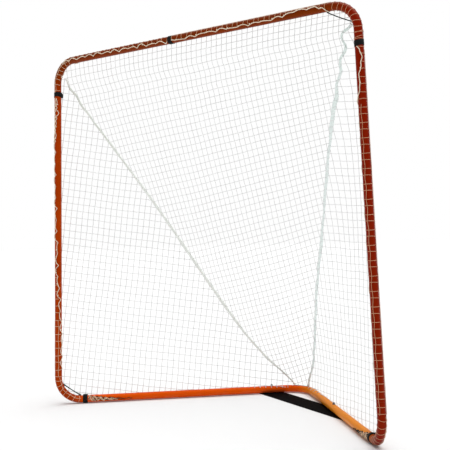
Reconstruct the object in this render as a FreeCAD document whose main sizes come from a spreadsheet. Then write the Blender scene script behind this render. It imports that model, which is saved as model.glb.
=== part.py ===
"""Backyard lacrosse goal, 6 ft square.

A knock-down frame of bent steel tube makes a square front with no ground bar and
a V-shaped base that runs back to a rounded apex.  Swaged tube ends lock with
spring snap buttons.  A three-panel net hangs from the crossbar and posts to the
apex, with a band in each seam, a cord along each edge, corner ties and straps.

World frame: X to the right along the crossbar, Y to the rear, Z up.  The origin
lies on the ground under the middle of the goal's overall box.  Lengths are in mm.
"""

import FreeCAD, Part
import math
import os
import Sketcher
from FreeCAD import Placement, Rotation, Vector

SIZES = {
    # frame: centre lines, corner to corner before the bends are rounded
    "tube_od": 38.0,
    "tube_wall": 1.6,
    "bend_radius": 120.0,
    "top_width": 1830.0,
    "ground_width": 1904.0,
    "corner_height": 1848.0,
    "base_depth": 1019.0,
    # where the tubes part, from the sharp corner
    "post_joint_from_corner": 180.0,
    "base_joint_from_corner": 150.0,
    "apex_joint_from_corner": 300.0,
    # swaged spigots
    "spigot_od": 34.4,
    "spigot_wall": 1.6,
    "spigot_length": 45.0,
    "spigot_chamfer": 1.0,
    "swage_length": 8.0,
    "joint_gap": 0.5,
    # snap buttons and their V springs
    "button_setback": 22.0,
    "button_od": 8.0,
    "button_hole": 8.3,
    "button_height": 4.0,
    "button_root": 12.4,
    "button_round": 2.4,
    "leaf_reach": 13.6,
    "leaf_thickness": 0.8,
    "leaf_width": 13.0,
    "leaf_hole": 8.6,
    "leaf_tip": 9.0,
    "leaf_knee": 8.0,
    "leaf_fold": 40.0,
    "leaf_fold_half": 3.0,
    "leaf_nose": 2.0,
    # straps
    "strap_width": 26.0,
    "strap_thickness": 2.7,
    "strap_gap": 0.3,
    "strap_tail": 16.0,
    "strap_tail_thickness": 1.6,
    "crossbar_strap_from_middle": 98.0,
    # ground plate and its screws
    "plate_width": 130.0,
    "plate_thickness": 3.0,
    "plate_overhang": 6.0,
    "plate_round": 12.0,
    "left_screw_from_apex": 205.0,
    "right_screw_from_apex": 600.0,
    "screw_od": 6.0,
    "screw_hole": 6.5,
    "screw_head_od": 12.0,
    "washer_od": 16.0,
    "washer_thickness": 1.5,
    "nut_od": 11.0,
    "nut_height": 5.0,
    "nut_dome": 4.5,
    "nut_roof": 1.0,
    # net
    "net_offset": 25.5,
    "net_over_bar": 19.5,
    "net_thickness": 1.5,
    "net_gap": 9.0,
    "net_foot_gap": 2.7,
    "net_corner_share": 0.4,
    "net_mask_margin": 200.0,
    "seam_top_drop": 95.0,
    "seam_top_inset": 30.0,
    "seam_foot_height": 48.0,
    "seam_foot_from_apex": 105.0,
    "seam_knee_share": 0.8,
    "seam_sag": 95.0,
    "seam_radius": 600.0,
    "seam_od": 8.0,
    # cords
    "edge_cord_od": 5.0,
    "edge_cord_gap": 0.3,
    "edge_cord_end": 165.0,
    "edge_cord_clear": 2.0,
    "tie_od": 2.4,
    "tie_link_od": 2.1,
    "tie_gap": 0.3,
    # how far round a bend each tie's ends lie, from the bend's start
    "top_tie_start": -27.0,
    "top_tie_end": 142.0,
    "base_tie_start": 52.0,
    "base_tie_end": 184.0,
}

doc = FreeCAD.newDocument("lacrosse_goal")
sheet = doc.addObject("Spreadsheet::Sheet", "Sizes")
parts = []


def fill_sheet():
    """Write each driving size and its alias into the sheet."""
    for row, (alias, value) in enumerate(SIZES.items(), start=1):
        sheet.set(f"A{row}", alias)
        sheet.set(f"B{row}", str(value))
        sheet.setAlias(f"B{row}", alias)
    doc.recompute()


def size(alias):
    """The number in an aliased cell."""
    return float(sheet.get(alias))


def value(expression):
    """The number that an expression on the sheet gives."""
    result = sheet.evalExpression(expression)
    return float(getattr(result, "Value", result))


def keep(obj, label):
    """Name a finished sub-part."""
    obj.Label = label
    parts.append(obj)
    return obj


def origin_plane(body, role):
    return next(f for f in body.Origin.OriginFeatures if f.Role == role)


def new_body(name):
    return doc.addObject("PartDesign::Body", name)


def new_sketch(body, role, name):
    """A sketch on one of the body's own origin planes."""
    sketch = body.newObject("Sketcher::SketchObject", name)
    sketch.AttachmentSupport = [(origin_plane(body, role), "")]
    sketch.MapMode = "FlatFace"
    return sketch


def bind(sketch, constraint, expression):
    """Add a constraint whose datum follows an expression."""
    index = sketch.addConstraint(constraint)
    sketch.setExpression(f"Constraints[{index}]", expression)


def circle(sketch, radius, x="0", y="0"):
    """A circle whose radius and centre follow expressions."""
    centre = Vector(value(x), value(y), 0)
    index = sketch.addGeometry(Part.Circle(centre, Vector(0, 0, 1), value(radius)))
    bind(sketch, Sketcher.Constraint("Radius", index, value(radius)), radius)
    for kind, expression in (("DistanceX", x), ("DistanceY", y)):
        constraint = Sketcher.Constraint(kind, -1, 1, index, 3, value(expression))
        bind(sketch, constraint, expression)


def outline(sketch, points):
    """A closed outline whose corners follow pairs of expressions."""
    at = [Vector(value(x), value(y), 0) for x, y in points]
    first = None
    for start, end in zip(at, at[1:] + at[:1]):
        index = sketch.addGeometry(Part.LineSegment(start, end))
        first = index if first is None else first
    count = len(at)
    for i, (x, y) in enumerate(points):
        before = first + (i - 1) % count
        sketch.addConstraint(Sketcher.Constraint("Coincident", before, 2, first + i, 1))
        for kind, expression in (("DistanceX", x), ("DistanceY", y)):
            constraint = Sketcher.Constraint(kind, -1, 1, first + i, 1, value(expression))
            bind(sketch, constraint, expression)


def bend_path(body, name, leg_a, turn, leg_b, radius):
    """Leg, arc, leg in the body's XZ plane: it leaves the origin along +Z and turns to +X."""
    sketch = new_sketch(body, "XZ_Plane", name)
    a, b, r, angle = value(leg_a), value(leg_b), value(radius), math.radians(value(turn))
    bend_end = Vector(r - r * math.cos(angle), a + r * math.sin(angle), 0)
    tip = bend_end + Vector(math.sin(angle), math.cos(angle), 0) * b
    arc = Part.Circle(Vector(r, a, 0), Vector(0, 0, 1), r)
    sketch.addGeometry(Part.LineSegment(Vector(0, 0, 0), Vector(0, a, 0)))
    sketch.addGeometry(Part.ArcOfCircle(arc, math.pi - angle, math.pi))
    sketch.addGeometry(Part.LineSegment(bend_end, tip))
    sketch.addConstraint(Sketcher.Constraint("Coincident", 0, 1, -1, 1))
    sketch.addConstraint(Sketcher.Constraint("PointOnObject", 0, 2, -2))
    sketch.addConstraint(Sketcher.Constraint("Tangent", 0, 2, 1, 2))
    sketch.addConstraint(Sketcher.Constraint("Tangent", 1, 1, 2, 1))
    bind(sketch, Sketcher.Constraint("Distance", 0, a), leg_a)
    bind(sketch, Sketcher.Constraint("Radius", 1, r), radius)
    bind(sketch, Sketcher.Constraint("Distance", 2, b), leg_b)
    bind(sketch, Sketcher.Constraint("Angle", -2, 1, 2, 1, -angle), f"-({turn}) * 1 deg")
    return sketch


def spigot(body, name, place):
    """A swaged end: it reaches along the place's own +Y from the shoulder at its origin."""
    sketch = new_sketch(body, "XZ_Plane", name + "_profile")
    for axis, expression in place.items():
        sketch.setExpression(f"AttachmentOffset.{axis}", expression)
    outer = "Sizes.spigot_od / 2"
    inner = f"{outer} - Sizes.spigot_wall"
    bore = "Sizes.tube_od / 2 - Sizes.tube_wall"
    collar = "Sizes.tube_od / 2 - Sizes.tube_wall / 2"
    points = [
        (inner, "0"),
        (bore, "-Sizes.swage_length"),
        (collar, "-Sizes.swage_length"),
        (collar, "0"),
        (outer, "0"),
        (outer, "Sizes.spigot_length - Sizes.spigot_chamfer"),
        (f"{outer} - Sizes.spigot_chamfer", "Sizes.spigot_length"),
        (inner, "Sizes.spigot_length"),
    ]
    outline(sketch, points)
    doc.recompute()
    turned = body.newObject("PartDesign::Revolution", name)
    turned.Profile = sketch
    turned.ReferenceAxis = (sketch, ["V_Axis"])
    turned.Angle = 360


def tube_ring(body):
    """The tube's section on the body's XY plane."""
    sketch = new_sketch(body, "XY_Plane", body.Name + "_section")
    circle(sketch, "Sizes.tube_od / 2")
    circle(sketch, "Sizes.tube_od / 2 - Sizes.tube_wall")
    return sketch


def bent_tube(name, leg_a, turn, leg_b, start_spigot=True):
    """A tube with one bend, swaged at its far end and, unless it is plain, at its start."""
    body = new_body(name + "_blank")
    ring = tube_ring(body)
    path = bend_path(body, name + "_path", leg_a, turn, leg_b, "Sizes.bend_radius")
    doc.recompute()
    pipe = body.newObject("PartDesign::AdditivePipe", name + "_pipe")
    pipe.Profile = ring
    pipe.Spine = (path, ["Edge1", "Edge2", "Edge3"])
    radius = "Sizes.bend_radius"
    sine, cosine = f"sin(({turn}) * 1 deg)", f"cos(({turn}) * 1 deg)"
    far_x = f"{radius} * (1 - {cosine}) + ({leg_b}) * {sine}"
    far_y = f"({leg_a}) + {radius} * {sine} + ({leg_b}) * {cosine}"
    if start_spigot:
        spigot(body, name + "_near_spigot", {"Rotation.Angle": "180 deg"})
    far = {"Base.x": far_x, "Base.y": far_y, "Rotation.Angle": f"-({turn}) * 1 deg"}
    spigot(body, name + "_far_spigot", far)
    return body


def straight_tube(name, length):
    """A plain tube along the body's +Z."""
    body = new_body(name + "_blank")
    ring = tube_ring(body)
    doc.recompute()
    pad = body.newObject("PartDesign::Pad", name + "_pad")
    pad.Profile = ring
    pad.setExpression("Length", length)
    return body


def frame_of(z_axis, x_hint):
    """The rotation that turns local Z to z_axis and local X towards x_hint."""
    z = Vector(z_axis).normalize()
    y = z.cross(x_hint).normalize()
    return Rotation(y.cross(z), y, z, "ZXY")


def cylinder(name, radius, height, place):
    """A cylinder along the place's own +Z."""
    obj = doc.addObject("Part::Cylinder", name)
    obj.setExpression("Radius", radius)
    obj.setExpression("Height", height)
    obj.Placement = place
    return obj


def drilled(label, blank, tools):
    """A tube with its button and screw holes cut."""
    holes = doc.addObject("Part::Compound", label + "_holes")
    holes.Links = tools
    cut = doc.addObject("Part::Cut", label + "_cut")
    cut.Base = blank
    cut.Tool = holes
    return keep(cut, label)


# --- the frame's corners and directions ---------------------------------------

fill_sheet()

TUBE_R = size("tube_od") / 2
RADIUS = size("bend_radius")
STRAP_R = TUBE_R + size("strap_gap") + size("strap_thickness")
LOW_Z = STRAP_R
HIGH_Z = LOW_Z + size("corner_height")
EDGE_CORD_FRONT = TUBE_R + size("edge_cord_gap") + size("edge_cord_od")
UP = Vector(0, 0, 1)
RIGHT = Vector(1, 0, 0)
REAR = Vector(0, 1, 0)

half_base = math.atan2(size("ground_width") / 2, size("base_depth"))
apex_turn = math.pi - 2 * half_base
apex_rounding = RADIUS * (1 / math.cos(apex_turn / 2) - 1)
rear_reach = size("base_depth") - apex_rounding + TUBE_R
FRONT_Y = -(rear_reach - EDGE_CORD_FRONT) / 2

TOP = {s: Vector(s * size("top_width") / 2, FRONT_Y, HIGH_Z) for s in (-1, 1)}
LOW = {s: Vector(s * size("ground_width") / 2, FRONT_Y, LOW_Z) for s in (-1, 1)}
APEX = Vector(0, FRONT_Y + size("base_depth"), LOW_Z)
DOWN = {s: (LOW[s] - TOP[s]).normalize() for s in (-1, 1)}
BACK = {s: (APEX - LOW[s]).normalize() for s in (-1, 1)}
OUT = {s: Vector(s * BACK[s].y, abs(BACK[s].x), 0) for s in (-1, 1)}
SIDES = {-1: "left", 1: "right"}

# The same angles, as the sketches' expressions hold them.
LEAN = "atan((Sizes.ground_width - Sizes.top_width) / 2 / Sizes.corner_height) / 1 deg"
TOP_TURN = f"90 - {LEAN}"
BASE_LENGTH = "sqrt((Sizes.ground_width / 2)^2 + Sizes.base_depth^2)"
POST_LENGTH = "sqrt(((Sizes.ground_width - Sizes.top_width) / 2)^2 + Sizes.corner_height^2)"
TOE_IN = f"(Sizes.ground_width / 2 / {BASE_LENGTH})"
LEAN_SINE = f"((Sizes.ground_width - Sizes.top_width) / 2 / {POST_LENGTH})"
ELBOW_TURN = f"acos(-{LEAN_SINE} * {TOE_IN}) / 1 deg"
APEX_TURN = "180 - 2 * atan(Sizes.ground_width / 2 / Sizes.base_depth) / 1 deg"


def tangent(turn):
    """How far a bend starts from its sharp corner, as an expression."""
    return f"Sizes.bend_radius * tan(({turn}) / 2 * 1 deg)"


def on_bend(corner, leg_in, leg_out, travel):
    """The centre line's point and direction, and the way to the bend's inside, at a travel
    measured from the start of the bend."""
    turn = leg_in.getAngle(leg_out)
    inside = (leg_out - leg_in * leg_out.dot(leg_in)).normalize()
    start = corner - leg_in * RADIUS * math.tan(turn / 2)
    if travel <= 0:
        return start + leg_in * travel, leg_in, inside
    angle = min(travel / RADIUS, turn)
    point = start + leg_in * RADIUS * math.sin(angle)
    point += inside * RADIUS * (1 - math.cos(angle))
    along = leg_in * math.cos(angle) + inside * math.sin(angle)
    inward = inside * math.cos(angle) - leg_in * math.sin(angle)
    return point, along, inward


# --- joints: where a spigot's shoulder is, the way it reaches, and its button's side ---

JOINTS = {"crossbar": (Vector(0, FRONT_Y, HIGH_Z), RIGHT, REAR)}
for side, word in SIDES.items():
    post_step = size("post_joint_from_corner")
    JOINTS[f"{word}_top"] = (TOP[side] + DOWN[side] * post_step, DOWN[side], REAR)
    JOINTS[f"{word}_low"] = (LOW[side] - DOWN[side] * post_step, -DOWN[side], REAR)
    base_start = LOW[side] + BACK[side] * size("base_joint_from_corner")
    JOINTS[f"{word}_base"] = (base_start, BACK[side], OUT[side])
    base_end = APEX - BACK[side] * size("apex_joint_from_corner")
    JOINTS[f"{word}_rear"] = (base_end, -BACK[side], OUT[side])


def button_place(joint):
    """The button's spot on the tube's centre line: local Z to its side, local X to the spigot's tip."""
    point, reach, button_side = JOINTS[joint]
    return Placement(point + reach * size("button_setback"), frame_of(button_side, reach))


HOLES = {
    name: cylinder(f"{name}_hole", "Sizes.button_hole / 2", "Sizes.tube_od", button_place(name))
    for name in JOINTS
}


def screw_point(side, alias):
    return APEX - BACK[side] * size(alias)


SCREWS = {
    "left": screw_point(-1, "left_screw_from_apex"),
    "right": screw_point(1, "right_screw_from_apex"),
}
SCREW_HOLES = {
    word: cylinder(
        f"{word}_screw_hole",
        "Sizes.screw_hole / 2",
        "Sizes.tube_od * 2",
        Placement(point - UP * size("tube_od"), Rotation()),
    )
    for word, point in SCREWS.items()
}


# --- tubes ----------------------------------------------------------------------


def top_corner_tubes():
    """Two crossbar halves, each bent down into the top of its post."""
    post_leg = f"Sizes.post_joint_from_corner - {tangent(TOP_TURN)}"
    bar_leg = f"Sizes.top_width / 2 - {tangent(TOP_TURN)}"
    left = bent_tube("top_left_corner", bar_leg, TOP_TURN, post_leg)
    left.Placement = Placement(JOINTS["crossbar"][0], frame_of(-RIGHT, -UP))
    drilled("top_left_corner_tube", left, [HOLES["crossbar"], HOLES["left_top"]])
    right_leg = f"{bar_leg} - Sizes.joint_gap"
    right = bent_tube("top_right_corner", right_leg, TOP_TURN, post_leg, start_spigot=False)
    start = JOINTS["crossbar"][0] + RIGHT * size("joint_gap")
    right.Placement = Placement(start, frame_of(RIGHT, -UP))
    drilled("top_right_corner_tube", right, [HOLES["crossbar"], HOLES["right_top"]])


def post_tube(side, word):
    """A straight post tube between the top corner and the elbow."""
    length = f"{POST_LENGTH} - 2 * Sizes.post_joint_from_corner - 2 * Sizes.joint_gap"
    body = straight_tube(f"{word}_post", length)
    start = JOINTS[f"{word}_top"][0] + DOWN[side] * size("joint_gap")
    body.Placement = Placement(start, frame_of(DOWN[side], RIGHT))
    drilled(f"{word}_post_tube", body, [HOLES[f"{word}_top"], HOLES[f"{word}_low"]])


def elbow_tube(side, word):
    """The bottom corner, which turns from the post into the V base."""
    reach = tangent(ELBOW_TURN)
    post_leg = f"Sizes.post_joint_from_corner - {reach}"
    base_leg = f"Sizes.base_joint_from_corner - {reach}"
    body = bent_tube(f"{word}_elbow", post_leg, ELBOW_TURN, base_leg)
    body.Placement = Placement(JOINTS[f"{word}_low"][0], frame_of(DOWN[side], BACK[side]))
    drilled(f"{word}_elbow_tube", body, [HOLES[f"{word}_low"], HOLES[f"{word}_base"]])


def base_tube(side, word, extra):
    """A straight tube on the ground from the elbow to the apex tube."""
    ends = "Sizes.base_joint_from_corner + Sizes.apex_joint_from_corner + 2 * Sizes.joint_gap"
    body = straight_tube(f"{word}_base", f"{BASE_LENGTH} - ({ends})")
    start = JOINTS[f"{word}_base"][0] + BACK[side] * size("joint_gap")
    body.Placement = Placement(start, frame_of(BACK[side], UP))
    tools = [HOLES[f"{word}_base"], HOLES[f"{word}_rear"], *extra]
    drilled(f"{word}_base_tube", body, tools)


def apex_tube():
    """The rounded point of the V."""
    leg = f"Sizes.apex_joint_from_corner - {tangent(APEX_TURN)}"
    body = bent_tube("rear_apex", leg, APEX_TURN, leg)
    body.Placement = Placement(JOINTS["left_rear"][0], frame_of(BACK[-1], -BACK[1]))
    tools = [HOLES["left_rear"], HOLES["right_rear"], SCREW_HOLES["left"]]
    drilled("rear_apex_tube", body, tools)


# --- snap buttons ---------------------------------------------------------------


def snap_button(joint):
    """The round button that locks a joint; it stands out through both tube walls."""
    body = new_body(f"{joint}_button_body")
    sketch = new_sketch(body, "XY_Plane", f"{joint}_button_section")
    circle(sketch, "Sizes.button_od / 2")
    doc.recompute()
    pad = body.newObject("PartDesign::Pad", f"{joint}_button_pad")
    pad.Profile = sketch
    pad.setExpression("Length", "Sizes.tube_od / 2 + Sizes.button_height - Sizes.button_root")
    doc.recompute()
    edge = body.newObject("PartDesign::Fillet", f"{joint}_button_round")
    top = max(range(len(pad.Shape.Edges)), key=lambda i: pad.Shape.Edges[i].CenterOfMass.z)
    edge.Base = (pad, [f"Edge{top + 1}"])
    edge.setExpression("Radius", "Sizes.button_round")
    place = button_place(joint)
    body.Placement = place * Placement(Vector(0, 0, size("button_root")), Rotation())
    keep(body, f"{joint}_snap_button")


def leaf_spring(joint):
    """The V spring inside the spigot, open towards its tip, with a hole for the button's root."""
    body = new_body(f"{joint}_leaf_body")
    sketch = new_sketch(body, "XZ_Plane", f"{joint}_leaf_profile")
    skin = "Sizes.leaf_thickness"
    upper = [
        ("Sizes.leaf_tip", "Sizes.leaf_reach"),
        ("-Sizes.leaf_knee", "Sizes.leaf_reach"),
        ("-Sizes.leaf_fold", "Sizes.leaf_fold_half"),
        ("-Sizes.leaf_fold - Sizes.leaf_nose", "Sizes.leaf_fold_half / 2"),
    ]
    inner = [
        (f"-Sizes.leaf_fold - Sizes.leaf_nose + {skin}", f"Sizes.leaf_fold_half / 2 - {skin} / 4"),
        (f"-Sizes.leaf_fold + {skin} / 2", f"Sizes.leaf_fold_half - {skin}"),
        (f"-Sizes.leaf_knee + {skin} / 4", f"Sizes.leaf_reach - {skin}"),
        ("Sizes.leaf_tip", f"Sizes.leaf_reach - {skin}"),
    ]
    mirrored = [(x, f"-({y})") for x, y in reversed(upper)]
    mirrored_inner = [(x, f"-({y})") for x, y in reversed(inner)]
    outline(sketch, upper + mirrored + mirrored_inner + inner)
    doc.recompute()
    pad = body.newObject("PartDesign::Pad", f"{joint}_leaf_pad")
    pad.Profile = sketch
    pad.setExpression("Length", "Sizes.leaf_width")
    pad.Midplane = True
    doc.recompute()
    hole = new_sketch(body, "XY_Plane", f"{joint}_leaf_hole")
    circle(hole, "Sizes.leaf_hole / 2")
    doc.recompute()
    pocket = body.newObject("PartDesign::Pocket", f"{joint}_leaf_pocket")
    pocket.Profile = hole
    pocket.Type = "ThroughAll"
    pocket.Reversed = True
    doc.recompute()
    solid_arm = pad.Shape.Volume - pocket.Shape.Volume
    expected = math.pi * (size("leaf_hole") / 2) ** 2 * size("leaf_thickness")
    assert abs(solid_arm - expected) < 0.2 * expected, "the leaf's hole missed its arm"
    body.Placement = button_place(joint)
    keep(body, f"{joint}_leaf_spring")


# --- straps, ties and cords -------------------------------------------------------


def strap(label, point, along, tail_side):
    """A hook-and-loop strap round a tube, with its loose tail standing off on one side."""
    body = new_body(label + "_body")
    ring = new_sketch(body, "XY_Plane", label + "_ring")
    circle(ring, "Sizes.tube_od / 2 + Sizes.strap_gap + Sizes.strap_thickness")
    circle(ring, "Sizes.tube_od / 2 + Sizes.strap_gap")
    doc.recompute()
    band = body.newObject("PartDesign::Pad", label + "_band")
    band.Profile = ring
    band.setExpression("Length", "Sizes.strap_width")
    band.Midplane = True
    doc.recompute()
    tail = new_sketch(body, "XY_Plane", label + "_tail")
    outer = "Sizes.tube_od / 2 + Sizes.strap_gap + Sizes.strap_thickness"
    under = f"{outer} - Sizes.strap_tail_thickness"
    outline(tail, [("0", under), ("Sizes.strap_tail", under), ("Sizes.strap_tail", outer), ("0", outer)])
    doc.recompute()
    flap = body.newObject("PartDesign::Pad", label + "_flap")
    flap.Profile = tail
    flap.setExpression("Length", "Sizes.strap_width")
    flap.Midplane = True
    body.Placement = Placement(point, frame_of(along, tail_side))
    keep(body, label)


def straps():
    """One at the crossbar, one at the top of each post, one at each elbow's end."""
    bar_point = Vector(-size("crossbar_strap_from_middle"), FRONT_Y, HIGH_Z)
    strap("crossbar_strap", bar_point, RIGHT, REAR)
    for side, word in SIDES.items():
        strap(f"{word}_post_strap", JOINTS[f"{word}_top"][0], DOWN[side] * -side, REAR)
        strap(f"{word}_base_strap", JOINTS[f"{word}_base"][0], BACK[side] * -side, OUT[side])


def corner_tie(label, corner, leg_in, leg_out, travels):
    """A cord looped round the tube on each side of a bend and drawn straight across it."""
    ring_radius = "Sizes.tube_od / 2 + Sizes.tie_gap + Sizes.tie_od / 2"
    pieces = []
    ends = []
    for number, travel in enumerate(travels):
        point, along, inward = on_bend(corner, leg_in, leg_out, travel)
        loop = doc.addObject("Part::Torus", f"{label}_loop_{number}")
        loop.setExpression("Radius1", ring_radius)
        loop.setExpression("Radius2", "Sizes.tie_od / 2")
        loop.Placement = Placement(point, frame_of(along, inward))
        pieces.append(loop)
        ends.append(point + inward * value(ring_radius))
    run = ends[1] - ends[0]
    bury = Vector(run).normalize() * size("tie_od") / 4
    link = doc.addObject("Part::Cylinder", f"{label}_link")
    link.setExpression("Radius", "Sizes.tie_link_od / 2")
    link.Height = run.Length + 2 * bury.Length
    link.Placement = Placement(ends[0] - bury, frame_of(run, REAR))
    pieces.append(link)
    tie = doc.addObject("Part::MultiFuse", label + "_fuse")
    tie.Shapes = pieces
    keep(tie, label)


def corner_ties():
    top_ends = (size("top_tie_start"), size("top_tie_end"))
    base_ends = (size("base_tie_start"), size("base_tie_end"))
    for side, word in SIDES.items():
        across = RIGHT * side
        corner_tie(f"{word}_top_tie", TOP[side], across, DOWN[side], top_ends)
        corner_tie(f"{word}_base_tie", LOW[side], DOWN[side], BACK[side], base_ends)


def edge_cord(name, start, end):
    """A straight run of edge cord along the front of a tube."""
    forward = -REAR * (EDGE_CORD_FRONT - size("edge_cord_od") / 2)
    run = end - start
    place = Placement(start + forward, frame_of(run, REAR))
    cord = doc.addObject("Part::Cylinder", name)
    cord.setExpression("Radius", "Sizes.edge_cord_od / 2")
    cord.Height = run.Length
    cord.Placement = place
    return cord


def edge_cords():
    """The cord in the net's edge, on the front of the crossbar and posts; it stops at the straps."""
    clear = size("strap_width") / 2 + size("edge_cord_clear")
    end = size("edge_cord_end")
    strap_x = -size("crossbar_strap_from_middle")
    bar = Vector(0, FRONT_Y, HIGH_Z)
    left_run = edge_cord("edge_run_0", TOP[-1] + RIGHT * end, bar + RIGHT * (strap_x - clear))
    right_run = edge_cord("edge_run_1", bar + RIGHT * (strap_x + clear), TOP[1] - RIGHT * end)
    top = doc.addObject("Part::Compound", "top_edge_cord_runs")
    top.Links = [left_run, right_run]
    keep(top, "top_edge_cord")
    for side, word in SIDES.items():
        start = JOINTS[f"{word}_top"][0] + DOWN[side] * clear
        cord = edge_cord(f"{word}_edge_run", start, LOW[side] - DOWN[side] * end)
        keep(cord, f"{word}_edge_cord")


# --- ground plate -----------------------------------------------------------------


def plate_outline():
    """A skewed bar under both base tubes, its ends trimmed along the tubes' outer sides."""
    left, right = SCREWS["left"], SCREWS["right"]
    run = (right - left).normalize()
    across = Vector(-run.y, run.x, 0)
    corners = []
    for half, sides in ((-1, (-1, 1)), (1, (1, -1))):
        for side in sides:
            edge = left + across * half * size("plate_width") / 2
            trim = APEX + OUT[side] * (TUBE_R + size("plate_overhang"))
            step = (trim - edge).dot(OUT[side]) / run.dot(OUT[side])
            corners.append(edge + run * step)
    return corners


def ground_plate():
    """The flat black plate that the two base tubes are screwed to."""
    body = new_body("ground_plate_body")
    sketch = new_sketch(body, "XY_Plane", "ground_plate_outline")
    outline(sketch, [(str(round(p.x, 2)), str(round(p.y, 2))) for p in plate_outline()])
    doc.recompute()
    pad = body.newObject("PartDesign::Pad", "ground_plate_pad")
    pad.Profile = sketch
    pad.setExpression("Length", "Sizes.plate_thickness")
    doc.recompute()
    upright = [
        f"Edge{i + 1}"
        for i, edge in enumerate(pad.Shape.Edges)
        if abs(edge.tangentAt(edge.FirstParameter).z) > 0.99
    ]
    round_off = body.newObject("PartDesign::Fillet", "ground_plate_round")
    round_off.Base = (pad, upright)
    round_off.setExpression("Radius", "Sizes.plate_round")
    seats = [countersink(f"{word}_seat", point, "screw_hole") for word, point in SCREWS.items()]
    tools = doc.addObject("Part::Compound", "ground_plate_seats")
    tools.Links = seats
    cut = doc.addObject("Part::Cut", "ground_plate_cut")
    cut.Base = body
    cut.Tool = tools
    keep(cut, "ground_plate")


def countersink(name, point, bore):
    """A cone that opens downwards to the screw head's width at the ground."""
    cone = doc.addObject("Part::Cone", name)
    cone.setExpression("Radius1", f"(Sizes.screw_head_od + Sizes.{bore} - Sizes.screw_od) / 2")
    cone.setExpression("Radius2", f"Sizes.{bore} / 2")
    cone.setExpression("Height", "Sizes.plate_thickness")
    cone.Placement = Placement(Vector(point.x, point.y, 0), Rotation())
    return cone


def plate_fasteners():
    """Flat-headed screws up through plate and tube, each with a washer and a cap nut on top."""
    tube_top = LOW_Z + TUBE_R
    screws, washers, nuts = [], [], []
    for word, point in SCREWS.items():
        ground = Placement(Vector(point.x, point.y, 0), Rotation())
        top = Placement(Vector(point.x, point.y, tube_top), Rotation())
        seat = Placement(Vector(point.x, point.y, tube_top + size("washer_thickness")), Rotation())
        reach = f"{tube_top} + Sizes.washer_thickness + Sizes.nut_height - Sizes.nut_roof"
        shank = cylinder(f"{word}_shank", "Sizes.screw_od / 2", reach, ground)
        head = countersink(f"{word}_head", point, "screw_od")
        screw = doc.addObject("Part::Fuse", f"{word}_screw")
        screw.Base, screw.Tool = shank, head
        screws.append(screw)
        disc = cylinder(f"{word}_disc", "Sizes.washer_od / 2", "Sizes.washer_thickness", top)
        hole = cylinder(f"{word}_disc_hole", "Sizes.screw_hole / 2", "Sizes.washer_thickness", top)
        washer = doc.addObject("Part::Cut", f"{word}_washer")
        washer.Base, washer.Tool = disc, hole
        washers.append(washer)
        nuts.append(cap_nut(word, seat))
    for label, links in (
        ("plate_screws", screws),
        ("plate_washers", washers),
        ("plate_cap_nuts", nuts),
    ):
        group = doc.addObject("Part::Compound", label + "_group")
        group.Links = links
        keep(group, label)


def cap_nut(word, seat):
    """A hexagon nut with a domed cap over the screw's end."""
    hexagon = doc.addObject("Part::Prism", f"{word}_nut_hexagon")
    hexagon.Polygon = 6
    hexagon.setExpression("Circumradius", "Sizes.nut_od / 2 / cos(30 deg)")
    hexagon.setExpression("Height", "Sizes.nut_height")
    hexagon.Placement = seat
    dome = doc.addObject("Part::Sphere", f"{word}_nut_dome")
    dome.setExpression("Radius", "Sizes.nut_dome")
    dome.Angle1 = 0
    dome.Placement = seat * Placement(UP * size("nut_height"), Rotation())
    nut = doc.addObject("Part::Fuse", f"{word}_nut_blank")
    nut.Base, nut.Tool = hexagon, dome
    depth = "Sizes.nut_height - Sizes.nut_roof"
    bore = cylinder(f"{word}_nut_bore", "Sizes.screw_od / 2", depth, seat)
    cut = doc.addObject("Part::Cut", f"{word}_nut")
    cut.Base, cut.Tool = nut, bore
    return cut


# --- net ----------------------------------------------------------------------------
# Each side panel lies just outside its post and base tube, parallel to the plane of
# both.  Its own axes: X along the base to the apex, Y up the plane, origin at the
# sharp bottom corner.  The seam is a straight line there with one soft downward knee.

POST_SLOPE = f"tan(({ELBOW_TURN} - 90) * 1 deg)"
SEAM_TOP_Y = "Sizes.corner_height - Sizes.seam_top_drop"
SEAM_TOP_X = f"({SEAM_TOP_Y}) * {POST_SLOPE} + Sizes.seam_top_inset"
SEAM_FOOT_X = f"{BASE_LENGTH} - Sizes.seam_foot_from_apex"
SEAM_FOOT_Y = "Sizes.seam_foot_height - Sizes.net_offset"
KNEE_X = f"({SEAM_TOP_X}) + (({SEAM_FOOT_X}) - ({SEAM_TOP_X})) * Sizes.seam_knee_share"
KNEE_Y = (
    f"({SEAM_TOP_Y}) + (({SEAM_FOOT_Y}) - ({SEAM_TOP_Y})) * Sizes.seam_knee_share"
    " - Sizes.seam_sag"
)


def side_plane(side):
    """The side panel's own axes in the world."""
    normal = BACK[side].cross(-DOWN[side]).normalize()
    outward = normal * math.copysign(1, normal.dot(OUT[side]))
    origin = LOW[side] + outward * size("net_offset")
    return Placement(origin, Rotation(BACK[side], normal.cross(BACK[side]), normal, "XYZ"))


def seam_points(side):
    """The seam's top, knee and foot in the world."""
    place = side_plane(side)
    flat = ((SEAM_TOP_X, SEAM_TOP_Y), (KNEE_X, KNEE_Y), (SEAM_FOOT_X, SEAM_FOOT_Y))
    return [place.multVec(Vector(value(x), value(y), 0)) for x, y in flat]


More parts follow.
